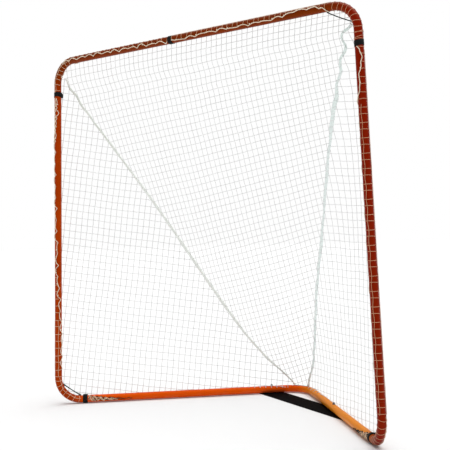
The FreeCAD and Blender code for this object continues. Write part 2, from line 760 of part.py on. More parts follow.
def side_panel(side, word):
    """A flat panel: up the post, down the seam past its knee, and back along the base tube."""
    body = new_body(f"net_{word}_body")
    sketch = new_sketch(body, "XY_Plane", f"net_{word}_outline")
    gap = "Sizes.net_gap"
    corner = "Sizes.post_joint_from_corner"
    cut = f"{corner} * Sizes.net_corner_share"
    points = [
        ("0", corner),
        (cut, cut),
        (corner, "0"),
        (f"({SEAM_FOOT_X}) - 2 * {gap}", "0"),
        (f"({SEAM_FOOT_X}) - 2 * {gap}", f"({SEAM_FOOT_Y}) - Sizes.net_foot_gap"),
        (f"({KNEE_X}) - {gap}", f"({KNEE_Y}) - {gap}"),
        (f"({SEAM_TOP_X}) - {gap} / 2", f"({SEAM_TOP_Y}) - 2 * {gap}"),
        (f"({SEAM_TOP_Y}) * {POST_SLOPE}", f"({SEAM_TOP_Y}) - 2 * {gap}"),
    ]
    outline(sketch, points)
    doc.recompute()
    pad = body.newObject("PartDesign::Pad", f"net_{word}_pad")
    pad.Profile = sketch
    pad.setExpression("Length", "Sizes.net_thickness")
    pad.Midplane = True
    body.Placement = side_plane(side)
    keep(body, f"net_{word}_panel")


def centre_panel():
    """A sheet folded at the knees' height, from the crossbar to the apex."""
    top, knee, foot = seam_points(1)
    gap = size("net_gap")
    skin = size("net_thickness")
    bar = Vector(0, FRONT_Y, HIGH_Z) + Vector(0, 1, 1) * size("net_over_bar")
    profile = [(bar.y, bar.z), (knee.y, knee.z), (foot.y - gap, foot.z + gap)]
    body = new_body("net_centre_body")
    sheet_sketch = new_sketch(body, "YZ_Plane", "net_centre_profile")
    back = [(y + skin, z + skin / 2) for y, z in reversed(profile)]
    outline(sheet_sketch, [(str(round(y, 2)), str(round(z, 2))) for y, z in profile + back])
    doc.recompute()
    pad = body.newObject("PartDesign::Pad", "net_centre_pad")
    pad.Profile = sheet_sketch
    pad.setExpression("Length", "Sizes.ground_width")
    pad.Midplane = True
    doc.recompute()
    mask = new_sketch(body, "XZ_Plane", "net_centre_mask")
    shoulder = TOP[1].x - RADIUS
    edge = [(shoulder, bar.z + 2 * gap), (shoulder, HIGH_Z), (top.x - 2 * gap, top.z)]
    edge += [(knee.x - 1.5 * gap, knee.z), (foot.x - gap, foot.z), (foot.x - gap, foot.z - gap)]
    window = edge + [(-x, z) for x, z in reversed(edge)]
    margin = size("net_mask_margin")
    frame_half, frame_top = size("ground_width") / 2 + margin, HIGH_Z + margin
    frame = [(-frame_half, -margin), (frame_half, -margin)]
    frame += [(frame_half, frame_top), (-frame_half, frame_top)]
    for points in (frame, window):
        outline(mask, [(str(round(x, 2)), str(round(z, 2))) for x, z in points])
    doc.recompute()
    trim = body.newObject("PartDesign::Pocket", "net_centre_trim")
    trim.Profile = mask
    trim.Type = "ThroughAll"
    trim.Midplane = True
    keep(body, "net_centre_panel")


def seam_band(side, word):
    """The band along a seam, straight with one soft knee."""
    top, knee, foot = seam_points(side)
    upper = (knee - top).normalize()
    lower = (foot - knee).normalize()
    turn = math.degrees(upper.getAngle(lower))
    reach = size("seam_radius") * math.tan(math.radians(turn / 2))
    body = new_body(f"{word}_seam_body")
    ring = new_sketch(body, "XY_Plane", f"{word}_seam_section")
    circle(ring, "Sizes.seam_od / 2")
    leg_a = str(round((knee - top).Length - reach, 3))
    leg_b = str(round((foot - knee).Length - reach, 3))
    path = bend_path(body, f"{word}_seam_path", leg_a, str(round(turn, 5)), leg_b, "Sizes.seam_radius")
    doc.recompute()
    pipe = body.newObject("PartDesign::AdditivePipe", f"{word}_seam_pipe")
    pipe.Profile = ring
    pipe.Spine = (path, ["Edge1", "Edge2", "Edge3"])
    body.Placement = Placement(top, frame_of(upper, lower))
    keep(body, f"{word}_seam_band")


# --- the whole goal -------------------------------------------------------------------

top_corner_tubes()
for side, word in SIDES.items():
    post_tube(side, word)
    elbow_tube(side, word)
    base_tube(side, word, [SCREW_HOLES["right"]] if side > 0 else [])
apex_tube()
for joint_name in JOINTS:
    snap_button(joint_name)
    leaf_spring(joint_name)
straps()
corner_ties()
edge_cords()
ground_plate()
plate_fasteners()
centre_panel()
for side, word in SIDES.items():
    side_panel(side, word)
    seam_band(side, word)

doc.recompute()
for obj in doc.Objects:
    if {"Invalid", "Error"} & set(obj.State):
        raise RuntimeError(f"{obj.Label} failed: {obj.State}")
os.makedirs("parts", exist_ok=True)
for part in parts:
    if part.Shape.isNull() or not part.Shape.isValid():
        raise RuntimeError(f"{part.Label} has no valid shape")
    part.Shape.exportStep(f"parts/{part.Label}.step")
print(len(parts), "sub-parts written")
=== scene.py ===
"""Looks of a backyard lacrosse goal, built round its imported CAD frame.

The bent steel tubes, snap buttons, springs, plate and screws are the CAD pieces with
procedural materials.  The netting, seam tapes, lacing, corner ties and straps are built
here as twine, tape and cord, and stand for their CAD solids.
"""

import math

import bpy
import numpy as np
from mathutils import Matrix, Vector


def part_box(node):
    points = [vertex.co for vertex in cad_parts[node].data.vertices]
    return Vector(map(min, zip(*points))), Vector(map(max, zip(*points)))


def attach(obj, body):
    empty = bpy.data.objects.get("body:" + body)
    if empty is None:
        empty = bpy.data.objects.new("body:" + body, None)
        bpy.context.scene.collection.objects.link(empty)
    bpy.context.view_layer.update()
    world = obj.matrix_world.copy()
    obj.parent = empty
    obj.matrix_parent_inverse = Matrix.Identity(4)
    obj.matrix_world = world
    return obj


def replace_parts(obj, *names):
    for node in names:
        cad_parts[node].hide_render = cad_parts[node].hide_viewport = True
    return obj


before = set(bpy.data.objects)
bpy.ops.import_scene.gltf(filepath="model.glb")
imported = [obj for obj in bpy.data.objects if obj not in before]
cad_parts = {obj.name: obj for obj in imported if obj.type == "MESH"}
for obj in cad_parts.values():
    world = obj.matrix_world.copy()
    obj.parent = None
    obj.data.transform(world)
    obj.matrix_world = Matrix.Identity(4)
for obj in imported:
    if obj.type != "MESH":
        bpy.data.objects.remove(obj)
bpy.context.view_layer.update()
random = np.random.default_rng(11)

SIDES = {"left": -1, "right": 1}
BOTH = (-1, 1)
TAU = 2 * math.pi


def vec(*numbers):
    return np.array(numbers, float)


def unit(v):
    return v / np.linalg.norm(v)


def units(rows):
    return rows / np.linalg.norm(rows, axis=-1, keepdims=True)


def in_scene(name, data):
    """A new object in the scene, made of a mesh, a light or a camera's data."""
    made = bpy.data.objects.new(name, data)
    bpy.context.scene.collection.objects.link(made)
    return made


# -------- sizes, in metres
base_low, base_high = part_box("left_base_tube")
bar_low, bar_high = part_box("top_left_corner_tube")
TUBE = (base_high.z - base_low.z) / 2  # the tubes' radius
LOW_Z = base_high.z - TUBE
HIGH_Z = bar_high.z - TUBE
FRONT_Y = bar_low.y + TUBE
# the sharp corners of the tubes' centre lines, and the radius of the bends there
TOP_HALF = 0.915
LOW_HALF = 0.952
APEX_Y = 0.54004
BEND = 0.120
BASE_RUN = 1.2  # how far the rail follows each base tube

# the net's cells across and down, and the radii of its twine
CENTRE_PITCHES = (0.031, 0.0355)
SIDE_PITCHES = {-1: (0.031, 0.0375), 1: (0.058, 0.031)}
TWINE = 0.0013
SIDE_TWINE = {-1: 0.0013, 1: 0.0011}
WRAP_TWINE = 0.0010
WRAP_LIFT = WRAP_TWINE * 1.1
LONG_LIFT = WRAP_TWINE * 1.6  # a strand along a tube lies over the ones across it
PLIES = 3
KNOT = 1.55  # a knot's radius in radii of its twine
END_KNOT = 1.9
NET_LIFT = 0.0030
ROW_SAG = 0.0010
JITTER = 0.0006
SHORTEST = 0.15  # a strand shorter than this share of a cell is left out
WRAP_STEP = 0.24  # radians round the tube between a wrap's points
WRAP_BOW = 0.0035

UP = vec(0, 0, 1)
TOP = {side: vec(side * TOP_HALF, FRONT_Y, HIGH_Z) for side in BOTH}
LOW = {side: vec(side * LOW_HALF, FRONT_Y, LOW_Z) for side in BOTH}
APEX = vec(0, APEX_Y, LOW_Z)
BACK = {side: unit(APEX - LOW[side]) for side in BOTH}
RISE = {side: unit(TOP[side] - LOW[side]) for side in BOTH}
OUT = {side: vec(side * BACK[side][1], -side * BACK[side][0], 0) for side in BOTH}


# -------- curves
def smooth(pairs, at):
    """A value that eases from one given (place, value) pair to the next."""
    places, values = np.array(pairs, float).T
    at = np.asarray(at, float)
    right = np.clip(np.searchsorted(places, at), 1, len(places) - 1)
    share = np.clip((at - places[right - 1]) / (places[right] - places[right - 1]), 0, 1)
    share = share * share * (3 - 2 * share)
    return values[right - 1] + (values[right] - values[right - 1]) * share


def distances(line):
    """How far along a line each of its points is."""
    return np.concatenate([[0], np.cumsum(np.linalg.norm(np.diff(line, axis=0), axis=1))])


def rounded(corners, radius, step=0.004):
    """Points along a polyline whose corners are arcs, and the arcs' first and last indices."""
    points, arcs = [corners[0]], []
    for before, corner, after in zip(corners, corners[1:], corners[2:]):
        one, two = unit(before - corner), unit(after - corner)
        half = math.acos(float(np.clip(one @ two, -1, 1))) / 2
        centre = corner + unit(one + two) * radius / math.sin(half)
        start = corner + one * radius / math.tan(half)
        across = unit(start - centre)
        along = -one
        turn = math.pi - 2 * half
        count = math.ceil(turn * radius / step)
        first = len(points)
        for i in range(count + 1):
            angle = turn * i / count
            points.append(centre + radius * (across * math.cos(angle) + along * math.sin(angle)))
        arcs.append((first, len(points) - 1))
    points.append(corners[-1])
    return np.array(points), arcs


def tangents_of(line):
    steps = np.gradient(np.asarray(line, float), axis=0)
    return steps / np.maximum(np.linalg.norm(steps, axis=1, keepdims=True), 1e-12)


def carried(tangents, first):
    """A direction across a line, carried along it without twist."""
    out = [unit(first - tangents[0] * (first @ tangents[0]))]
    for tangent in tangents[1:]:
        v = out[-1] - tangent * (out[-1] @ tangent)
        out.append(unit(v))
    return np.array(out)


class Rail:
    """The frame's centre line from one base tube, up over the crossbar, to the other.

    Distance 0 is the crossbar's middle and grows to the right.  front and outer are two
    directions across the tube that don't twist about it: angle 0 faces the front, a
    quarter turn faces away from the mouth.
    """

    def __init__(self, corners, radius):
        self.points, self.arcs = rounded(corners, radius)
        distance = distances(self.points)
        a, b = self.arcs[1][1], self.arcs[2][0]
        middle = distance[a] + (distance[b] - distance[a]) * (
            -self.points[a][0] / (self.points[b][0] - self.points[a][0])
        )
        self.distance = distance - middle
        tangents = units(np.gradient(self.points, self.distance, axis=0))
        ahead = carried(tangents[b:], -np.eye(3)[1])
        behind = carried(tangents[b::-1], -np.eye(3)[1])[::-1]
        self.front = np.concatenate([behind[:-1], ahead])
        self.outer = np.cross(self.front, tangents)

    def read(self, table, s):
        return np.stack([np.interp(s, self.distance, table[:, i]) for i in range(3)], axis=-1)

    def centre(self, s):
        return self.read(self.points, s)

    def skin(self, s, angle, lift):
        """Points on the tube's surface, lift above it."""
        s, angle, lift = np.broadcast_arrays(*(np.asarray(v, float) for v in (s, angle, lift)))
        across = (
            self.read(self.front, s) * np.cos(angle)[..., None]
            + self.read(self.outer, s) * np.sin(angle)[..., None]
        )
        return self.centre(s) + units(across) * (TUBE + lift)[..., None]

    def arc(self, number):
        first, last = self.arcs[number]
        return self.distance[first], self.distance[last]

    def at_height(self, side, z):
        """The distance at which a post is at height z."""
        bends = (2, 3) if side > 0 else (0, 1)
        lo, hi = (sum(self.arc(bend)) / 2 for bend in bends)
        s = np.linspace(lo, hi, 2000)
        heights = self.centre(s)[:, 2]
        order = np.argsort(heights)
        return np.interp(z, heights[order], s[order])


BASE_END = {side: LOW[side] + BACK[side] * BASE_RUN for side in BOTH}
rail = Rail([BASE_END[-1], LOW[-1], TOP[-1], TOP[1], LOW[1], BASE_END[1]], BEND)
base_line, _ = rounded([LOW[-1] + BACK[-1], APEX, LOW[1] + BACK[1]], BEND)
TUBE_LINES = np.concatenate([
    np.stack([line[:-1], line[1:]], axis=1) for line in (rail.points, base_line)
])


def off_the_tubes(points, lift):
    """Points moved straight out of the tubes where they would lie in them."""
    start, run = TUBE_LINES[:, 0], TUBE_LINES[:, 1] - TUBE_LINES[:, 0]
    size = (run * run).sum(1)
    out = []
    for point in np.atleast_2d(points):
        share = np.clip(((point - start) * run).sum(1) / size, 0, 1)
        gaps = point - (start + run * share[:, None])
        reach = np.linalg.norm(gaps, axis=1)
        nearest = int(reach.argmin())
        need = TUBE + lift
        if reach[nearest] < need:
            point = point + gaps[nearest] * (need / max(reach[nearest], 1e-6) - 1)
        out.append(point)
    return np.array(out)


# -------- mesh makers
class Maker:
    """Gathers rings and knots into one mesh with a UV map that runs along each strand."""

    def __init__(self):
        self.vertices, self.faces, self.uvs = [], [], []
        self.count = 0

    def add(self, vertices, faces, uvs):
        self.vertices.append(np.asarray(vertices, float))
        self.faces.extend([[self.count + i for i in face] for face in faces])
        self.uvs.extend(uvs)
        self.count += len(vertices)

    def loft(self, rings, along, marks, inward=False):
        """A closed skin over rings of points.  marks holds each side's two places across."""
        sides = len(marks)
        faces, uvs = [], []
        for i in range(len(rings) - 1):
            near, far = i * sides, (i + 1) * sides
            a, b = along[i], along[i + 1]
            for j, (low, high) in enumerate(marks):
                k = (j + 1) % sides
                face = [near + j, near + k, far + k, far + j]
                corners = [(a, low), (a, high), (b, high), (b, low)]
                faces.append(face[:1] + face[:0:-1] if inward else face)
                uvs.extend(corners[:1] + corners[:0:-1] if inward else corners)
        for end in (0, len(rings) - 1):
            ring = [end * sides + j for j in range(sides)]
            faces.append(ring[::-1] if (end == 0) != inward else ring)
            uvs.extend([(along[end], 0.5)] * sides)
        self.add(rings.reshape(-1, 3), faces, uvs)

    def strand(self, line, radius, across, sides=6, flat=1.0):
        """A closed tube round a line.  across is one direction or one for each point; flat
        narrows the tube along it, and radius may change from point to point."""
        line = np.asarray(line, float)
        tangents = tangents_of(line)
        across = np.broadcast_to(np.asarray(across, float), line.shape)
        one = across - tangents * (across * tangents).sum(1)[:, None]
        one /= np.maximum(np.linalg.norm(one, axis=1, keepdims=True), 1e-9)
        two = np.cross(tangents, one)
        angle = TAU * np.arange(sides)[:, None] / sides
        radius = np.broadcast_to(np.asarray(radius, float), (len(line),))[:, None, None]
        rings = line[:, None] + radius * (
            np.cos(angle) * one[:, None] * flat + np.sin(angle) * two[:, None]
        )
        self.loft(rings, distances(line), [(j / sides, (j + 1) / sides) for j in range(sides)])

    def ribbon(self, line, outward, half_width, half_thick):
        """A flat closed band along a line, its faces square to outward."""
        side_way = units(np.cross(tangents_of(line), outward))
        w, h, r = half_width, half_thick, half_thick * 0.6
        shape = [(-w, -h + r), (-w + r, -h), (0, -h), (w - r, -h), (w, -h + r),
                 (w, h - r), (w - r, h), (0, h), (-w + r, h), (-w, h - r)]
        rings = np.stack([line + side_way * a + outward * b for a, b in shape], axis=1)
        places = [a / (2 * w) for a, _ in shape]
        marks = list(zip(places, places[1:] + places[:1]))
        self.loft(rings, distances(line), marks, inward=True)

    def knot(self, place, size):
        """A small rounded lump.  size is one radius or three."""
        self.add(place + KNOT_POINTS * size, KNOT_FACES, [(0.0, 0.5)] * (3 * len(KNOT_FACES)))

    def object(self, name, material, slot):
        """The mesh as a piece that rides on the frame, with its material. slot is not used."""
        mesh = bpy.data.meshes.new(name)
        mesh.from_pydata(np.concatenate(self.vertices).tolist(), [], self.faces)
        layer = mesh.uv_layers.new(name="Along")
        layer.data.foreach_set("uv", np.array(self.uvs, np.float32).ravel())
        mesh.polygons.foreach_set("use_smooth", [True] * len(mesh.polygons))
        mesh.update()
        mesh.materials.append(material)
        made = in_scene(name, mesh)
        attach(made, "frame")
        return made


def knot_shape():
    """An octahedron divided once and rounded."""
    points = [vec(1, 0, 0), vec(0, 1, 0), vec(-1, 0, 0), vec(0, -1, 0), vec(0, 0, 1), vec(0, 0, -1)]
    faces, middles = [], {}

    def middle(a, b):
        key = (min(a, b), max(a, b))
        if key not in middles:
            middles[key] = len(points)
            points.append(unit(points[a] + points[b]))
        return middles[key]

    for i in range(4):
        for tip, turn in ((4, 1), (5, -1)):
            a, b = (i, (i + 1) % 4)[::turn]
            ab, bc, ca = middle(a, b), middle(b, tip), middle(tip, a)
            faces.extend([[a, ab, ca], [ab, b, bc], [ca, bc, tip], [ab, bc, ca]])
    return np.array(points), faces


KNOT_POINTS, KNOT_FACES = knot_shape()


# -------- materials
class Surface:
    """A Principled material whose colour, roughness and bump come from node chains."""

    def __init__(self, name, roughness=0.5, metallic=0.0, **sockets):
        self.material = bpy.data.materials.new(name)
        self.material.use_nodes = True
        self.nodes, self.links = self.material.node_tree.nodes, self.material.node_tree.links
        self.shader = self.nodes["Principled BSDF"]
        self.shader.inputs["Roughness"].default_value = roughness
        self.shader.inputs["Metallic"].default_value = metallic
        for key, value in sockets.items():
            socket = key.replace("_", " ").title().replace("Ior", "IOR")
            self.shader.inputs[socket].default_value = value
        self.where = self.nodes.new("ShaderNodeTexCoord")

    def node(self, kind, **inputs):
        made = self.nodes.new("ShaderNode" + kind)
        for key, value in inputs.items():
            self.put(made.inputs[key.replace("_", " ")], value)
        return made

    def put(self, socket, value):
        if isinstance(value, bpy.types.NodeSocket):
            self.links.new(value, socket)
        else:
            socket.default_value = value

    def math(self, operation, a, b=0.0, clamp=False):
        made = self.nodes.new("ShaderNodeMath")
        made.operation = operation
        made.use_clamp = clamp
        self.put(made.inputs[0], a)
        self.put(made.inputs[1], b)
        return made.outputs[0]

    def times(self, a, b):
        return self.math("MULTIPLY", a, b)

    def parts(self, output):
        """The three numbers of a texture coordinate."""
        made = self.nodes.new("ShaderNodeSeparateXYZ")
        self.links.new(self.where.outputs[output], made.inputs[0])
        return made.outputs

    def noise(self, scale, detail=3.0, roughness=0.55):
        made = self.node("TexNoise", Scale=scale, Detail=detail, Roughness=roughness)
        self.links.new(self.where.outputs["Object"], made.inputs["Vector"])
        return made.outputs["Fac"]

    def fade(self, value, low, high):
        """0 at low and 1 at high."""
        made = self.node("MapRange", Value=value, From_Min=low, From_Max=high)
        made.clamp = True
        return made.outputs["Result"]

    def patches(self, noise):
        """Noise spread over the whole range, with soft edges to its patches."""
        return self.fade(noise, 0.3, 0.7)

    def mix(self, share, one, two):
        made = self.nodes.new("ShaderNodeMix")
        made.data_type = "RGBA"
        self.put(made.inputs["Factor"], share)
        self.put(made.inputs["A"], one)
        self.put(made.inputs["B"], two)
        return made.outputs["Result"]

    def colour(self, value):
        self.put(self.shader.inputs["Base Color"], value)

    def roughness(self, share, low, high):
        made = self.node("MapRange", Value=share, To_Min=low, To_Max=high)
        self.links.new(made.outputs["Result"], self.shader.inputs["Roughness"])

    def bump(self, height, distance, strength=1.0):
        made = self.node("Bump", Height=height, Distance=distance, Strength=strength)
        before = self.shader.inputs["Normal"].links
        if before:
            self.links.new(before[0].from_socket, made.inputs["Normal"])
        self.links.new(made.outputs["Normal"], self.shader.inputs["Normal"])

    def twist(self, lay):
        """0 to 1 across each ply of a cord whose plies turn once in a lay."""
        u, v, _ = self.parts("UV")
        phase = self.math("ADD", self.times(u, PLIES * TAU / lay), self.times(v, PLIES * TAU))
        return self.math("ABSOLUTE", self.math("SINE", self.times(phase, 0.5)))


def rgb(red, green, blue):
    return (red, green, blue, 1.0)


def grey(level):
    return rgb(level, level, level)


def paint_material():
    """Orange powder coat: fine orange peel, cloudier patches, dust low down and small scuffs.

    Painted light and shade: the base tubes are lighter and the right one yellower, as if lit from
    above, and the crossbar and the right post deeper than the left post, as if in shade.
    """
    s = Surface("orange powder coat", specular_ior_level=0.16, specular_tint=rgb(1.0, 0.45, 0.10))
    cloud, speck = s.noise(5.0, 4.0), s.noise(420.0, 2.0)
    x, _, z = s.parts("Object")
    post = s.mix(s.patches(cloud), rgb(0.36, 0.030, 0.0003), rgb(0.46, 0.046, 0.0006))
    # painted light: the base tubes are lighter as if lit from above, and the right one yellower as
    # a painted highlight
    base = s.mix(s.fade(x, -0.02, 0.09), rgb(0.80, 0.085, 0.001), rgb(0.88, 0.27, 0.002))
    # painted shade: the crossbar is darker, as if in shade from below
    bar = s.mix(cloud, rgb(0.125, 0.019, 0.0004), rgb(0.235, 0.026, 0.0006))
    between_posts = s.fade(s.math("ABSOLUTE", x), 0.88, 0.84)
    tone = s.mix(s.times(s.fade(z, 0.10, 0.045), between_posts), post, base)
    tone = s.mix(s.fade(z, 1.70, 1.83), tone, bar)
    # painted shade: the right post is a deeper red
    tone = s.mix(s.fade(x, 0.78, 0.90), tone, rgb(0.225, 0.0065, 0.0004))
    tone = s.mix(s.times(s.fade(speck, 0.45, 0.8), 0.35), tone, rgb(0.30, 0.030, 0.0006))
    scuff = s.times(s.fade(s.noise(60.0, 6.0, 0.7), 0.63, 0.72), s.fade(cloud, 0.52, 0.66))
    tone = s.mix(s.times(scuff, 0.6), tone, rgb(0.17, 0.030, 0.008))
    near_floor = s.fade(z, 0.03, 0.0)
    dust = s.times(s.times(near_floor, s.fade(s.noise(26.0, 5.0), 0.42, 0.75)), 0.22)
    s.colour(s.mix(dust, tone, rgb(0.42, 0.30, 0.19)))
    worn = s.math("ADD", scuff, dust)
    s.roughness(s.math("ADD", s.times(speck, 0.5), worn, clamp=True), 0.26, 0.62)
    s.bump(s.noise(900.0, 2.0), 0.00012, 0.5)
    s.bump(cloud, 0.0006, 0.25)
    return s.material


def plate_material():
    """Black powder coat with a fine texture and a few grey rub marks."""
    s = Surface("black plate coat", specular_ior_level=0.012)
    rub = s.times(s.fade(s.noise(38.0, 6.0, 0.72), 0.58, 0.74), 0.5)
    tone = s.mix(s.patches(s.noise(7.0)), rgb(0.0012, 0.0012, 0.0014), rgb(0.003, 0.003, 0.0033))
    s.colour(s.mix(rub, tone, grey(0.012)))
    s.roughness(s.noise(300.0, 2.0), 0.5, 0.75)
    s.bump(s.noise(650.0, 3.0), 0.00025, 0.6)
    return s.material


def metal_material(name, dark, light, low, high, grain):
    """Plated or sprung steel with drawn grain and cloudy plating."""
    s = Surface(name, metallic=1.0)
    cloud = s.noise(grain, 5.0, 0.65)
    s.colour(s.mix(s.patches(cloud), dark, light))
    s.roughness(s.noise(grain * 6, 3.0), low, high)
    s.bump(s.noise(grain * 9, 2.0), 0.00006, 0.5)
    return s.material


def cord_material(name, dark, light, lay, depth, shade=0.5, sheen=0.2, gloss=0.4):
    """Laid cord: plies that turn about each other, fibres, and slight soiling; the grooves between
    the plies are darkened as painted shade.
    """
    s = Surface(name, roughness=0.75, sheen_weight=sheen, sheen_roughness=0.5,
                specular_ior_level=gloss)
    ridge = s.twist(lay)
    fibre = s.noise(2600.0, 2.0)
    tone = s.mix(s.patches(s.noise(9.0, 4.0)), light, s.mix(0.5, light, dark))
    # painted shade: the grooves between the plies are darkened
    tone = s.mix(s.times(s.fade(ridge, 0.55, 0.0), shade), tone, dark)
    s.colour(s.mix(s.times(s.fade(fibre, 0.55, 0.8), 0.25), tone, dark))
    s.bump(ridge, depth, 0.8)
    s.bump(fibre, depth * 0.3, 0.5)
    return s.material


def webbing_material(name, dark, light, across, along):
    """Woven tape: threads that pass over and under, read along and across the tape."""
    s = Surface(name, roughness=0.8, sheen_weight=0.04, sheen_roughness=0.4,
                specular_ior_level=0.12)
    u, v, _ = s.parts("UV")
    warp = s.math("SINE", s.times(v, across * TAU))
    weft = s.math("SINE", s.times(u, along * TAU))
    weave = s.math("ADD", s.times(s.times(warp, weft), 0.5), 0.5)
    tone = s.mix(s.patches(s.noise(40.0, 4.0)), dark, s.mix(0.5, dark, light))
    s.colour(s.mix(s.times(weave, 0.7), tone, light))
    s.roughness(weave, 0.68, 0.9)
    s.bump(weave, 0.0004, 0.7)
    s.bump(s.noise(1800.0, 2.0), 0.0001, 0.5)
    return s.material


def band_material(name, dark, light, start):
    """Gathered seam tape, darker in blotches near its top, with soft folds and threads."""
    s = Surface(name, roughness=0.85, sheen_weight=0.25, sheen_roughness=0.5)
    along, height = s.parts("UV")[0], s.parts("Object")[2]
    thread = s.math("ABSOLUTE", s.math("SINE", s.times(along, TAU / 0.006)))
    blotch = s.fade(s.noise(18.0, 5.0, 0.6), 0.25, 0.6)
    # darker in blotches towards the top of the tape
    darker_near_top = s.math("MULTIPLY", s.fade(height, start - 0.9, start), blotch, clamp=True)
    tone = s.mix(darker_near_top, light, dark)
    tone = s.mix(s.times(s.fade(thread, 0.5, 0.0), 0.25), tone, dark)
    s.colour(s.mix(s.times(s.fade(s.noise(150.0, 3.0), 0.5, 0.8), 0.25), tone, dark))
    s.bump(thread, 0.0005, 0.6)
    s.bump(s.noise(240.0, 3.0), 0.0008, 0.5)
    return s.material


def wrap_material(word, dark, light):
    """Net twine round a tube, tinted orange as painted light bounced from the tube under it."""
    return cord_material(f"{word} wrapped twine", dark, light, 0.009, 0.0003, shade=0.4)


PAINT = paint_material()
PLATE = plate_material()
ZINC = metal_material("zinc plate", rgb(0.13, 0.13, 0.14), rgb(0.27, 0.27, 0.27), 0.34, 0.52, 60.0)
BUTTON = metal_material(
    "button steel", rgb(0.42, 0.42, 0.43), rgb(0.70, 0.69, 0.67), 0.18, 0.34, 90.0
)
SPRING = metal_material(
    "blued spring steel", rgb(0.10, 0.11, 0.14), rgb(0.24, 0.25, 0.28), 0.25, 0.40, 80.0
)
NET = cord_material("net twine", grey(0.61), rgb(0.84, 0.85, 0.84), 0.009, 0.0003, shade=0.35)
# painted light: the wrapped twine is tinted orange by the tube under it, and the crossbar's and the
# right post's copies are darker as painted shade
WRAP = {
    -1: wrap_material("left", rgb(0.52, 0.29, 0.14), rgb(0.95, 0.68, 0.45)),
    0: wrap_material("bar", rgb(0.42, 0.20, 0.09), rgb(0.84, 0.50, 0.28)),
    1: wrap_material("right", rgb(0.40, 0.16, 0.07), rgb(0.76, 0.40, 0.22)),
}
EDGE = cord_material(
    "edge cord", rgb(0.70, 0.50, 0.30), rgb(0.98, 0.88, 0.70), 0.016, 0.0006, shade=0.35
)
TIE = cord_material(
    "dark tie cord", rgb(0.004, 0.008, 0.007), rgb(0.018, 0.030, 0.026),
    0.008, 0.0004, sheen=0.0, gloss=0.1,
)
GREEN_TIE = cord_material(
    "green tie cord", rgb(0.006, 0.022, 0.018), rgb(0.030, 0.085, 0.070),
    0.009, 0.0004, sheen=0.0, gloss=0.15,
)
STRAP = webbing_material(
    "black strap", rgb(0.002, 0.002, 0.002), rgb(0.014, 0.014, 0.0145), across=9, along=700
)
BAND = {
    -1: band_material("left seam tape", rgb(0.70, 0.75, 0.66), rgb(0.93, 0.96, 0.92), 2.0),
    1: band_material("right seam tape", rgb(0.76, 0.92, 0.86), rgb(0.92, 1.0, 0.98), 2.2),
}
CAD_MATERIALS = {
    "frame_paint": PAINT,
    "plate_black": PLATE,
    "fastener_zinc": ZINC,
    "button_zinc": BUTTON,
    "spring_steel": SPRING,
    "strap_black": STRAP,
    "tie_cord": TIE,
    "edge_cord": EDGE,
    "net_twine": NET,
    "seam_band": BAND[1],
}


def paint_cad_nodes():
    """Each CAD node gets the material of its slot."""
    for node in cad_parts.values():
        for slot in node.material_slots:
            name = slot.material.name.split(".")[0]
            slot.material = CAD_MATERIALS[name]


paint_cad_nodes()


# -------- seams
# the ends of the right CAD band's centre line, which the left one mirrors
SEAM_TOP = vec(0.91506, -0.43963, 1.77519)
SEAM_FOOT = vec(0.09007, 0.48050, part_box("right_seam_band")[0].z + 0.004)
# The left seam sags a little and the right one hangs in towards the mouth's middle, given as
# (share of the way from top to foot, metres), with waves that die out below the top.
SEAM_SLACK = {
    -1: [(0.0, -0.013), (0.10, -0.002), (0.35, -0.003), (0.80, 0.025), (1.0, -0.004)],
    1: [(0.0, 0.061), (0.25, 0.074), (0.60, 0.058), (1.0, 0.022)],
}
SEAM_WAVE = {-1: 0.007, 1: 0.020}
WAVE_SHARE, WAVE_FADE = 0.055, 0.080
RIGHT_SEAM_LIFT = 0.29
SEAM_SAMPLES = 160
# where each seam is tied down on the rear bend, and the share of it that bends to get there
SEAM_TIED = {-1: vec(-0.040, 0.4785, 0.0455), 1: vec(0.048, 0.4745, 0.0455)}
SEAM_REACH = 0.10


def seam_line(side):
    """A seam's centre line in three dimensions, top first."""
    mirror = vec(side, 1, 1)
    top, foot = SEAM_TOP * mirror, SEAM_FOOT * mirror
    down = np.cross(unit(foot - top), OUT[side])
    down *= -np.sign(down[2])
    share = np.linspace(0, 1, SEAM_SAMPLES)
    slack = smooth(SEAM_SLACK[side], share)
    slack -= SEAM_WAVE[side] * np.cos(TAU * share / WAVE_SHARE) * np.exp(-share / WAVE_FADE)
    way = down if side < 0 else -(OUT[side] + RIGHT_SEAM_LIFT * down)
    line = top + (foot - top) * share[:, None] + way * slack[:, None]
    reach = smooth([(1 - SEAM_REACH, 0), (1, 1)], share)
    return line + (SEAM_TIED[side] - line[-1]) * reach[:, None]


SEAM = {side: seam_line(side) for side in BOTH}


# -------- netting
def clip_line(outline, axis, value):
    """Where the line at one coordinate's value passes inside an outline: pairs of the other."""
    other = 1 - axis
    hits = []
    for a, b in zip(outline, np.roll(outline, -1, axis=0)):
        if (a[axis] > value) != (b[axis] > value):
            share = (value - a[axis]) / (b[axis] - a[axis])
            hits.append(a[other] + (b[other] - a[other]) * share)
    hits.sort()
    return list(zip(hits[::2], hits[1::2]))


def strands_of(outline, axis, shift, pitches):
    """Strands at every pitch of one lattice coordinate: number, points and knots of each."""
    other = 1 - axis
    low, high = outline[:, axis].min(), outline[:, axis].max()
    step, pitch = pitches[axis], pitches[other]
    first, last = math.ceil((low - shift[axis]) / step), math.floor((high - shift[axis]) / step)
    for number in range(first, last + 1):
        value = shift[axis] + number * step
        for start, end in clip_line(outline, axis, value):
            if end - start < pitch * SHORTEST:
                continue
            k0 = math.floor((start - shift[other]) / pitch) + 1
            k1 = math.ceil((end - shift[other]) / pitch) - 1
            stops = [start] + [shift[other] + k * pitch for k in range(k0, k1 + 1)] + [end]
            along = [stops[0]]
            for a, b in zip(stops, stops[1:]):
                along.extend([(a + b) / 2, b])
            points = np.zeros((len(along), 2))
            points[:, axis] = value
            points[:, other] = along
            yield number, points, [(k, 2 * (k - k0) + 2) for k in range(k0, k1 + 1)]


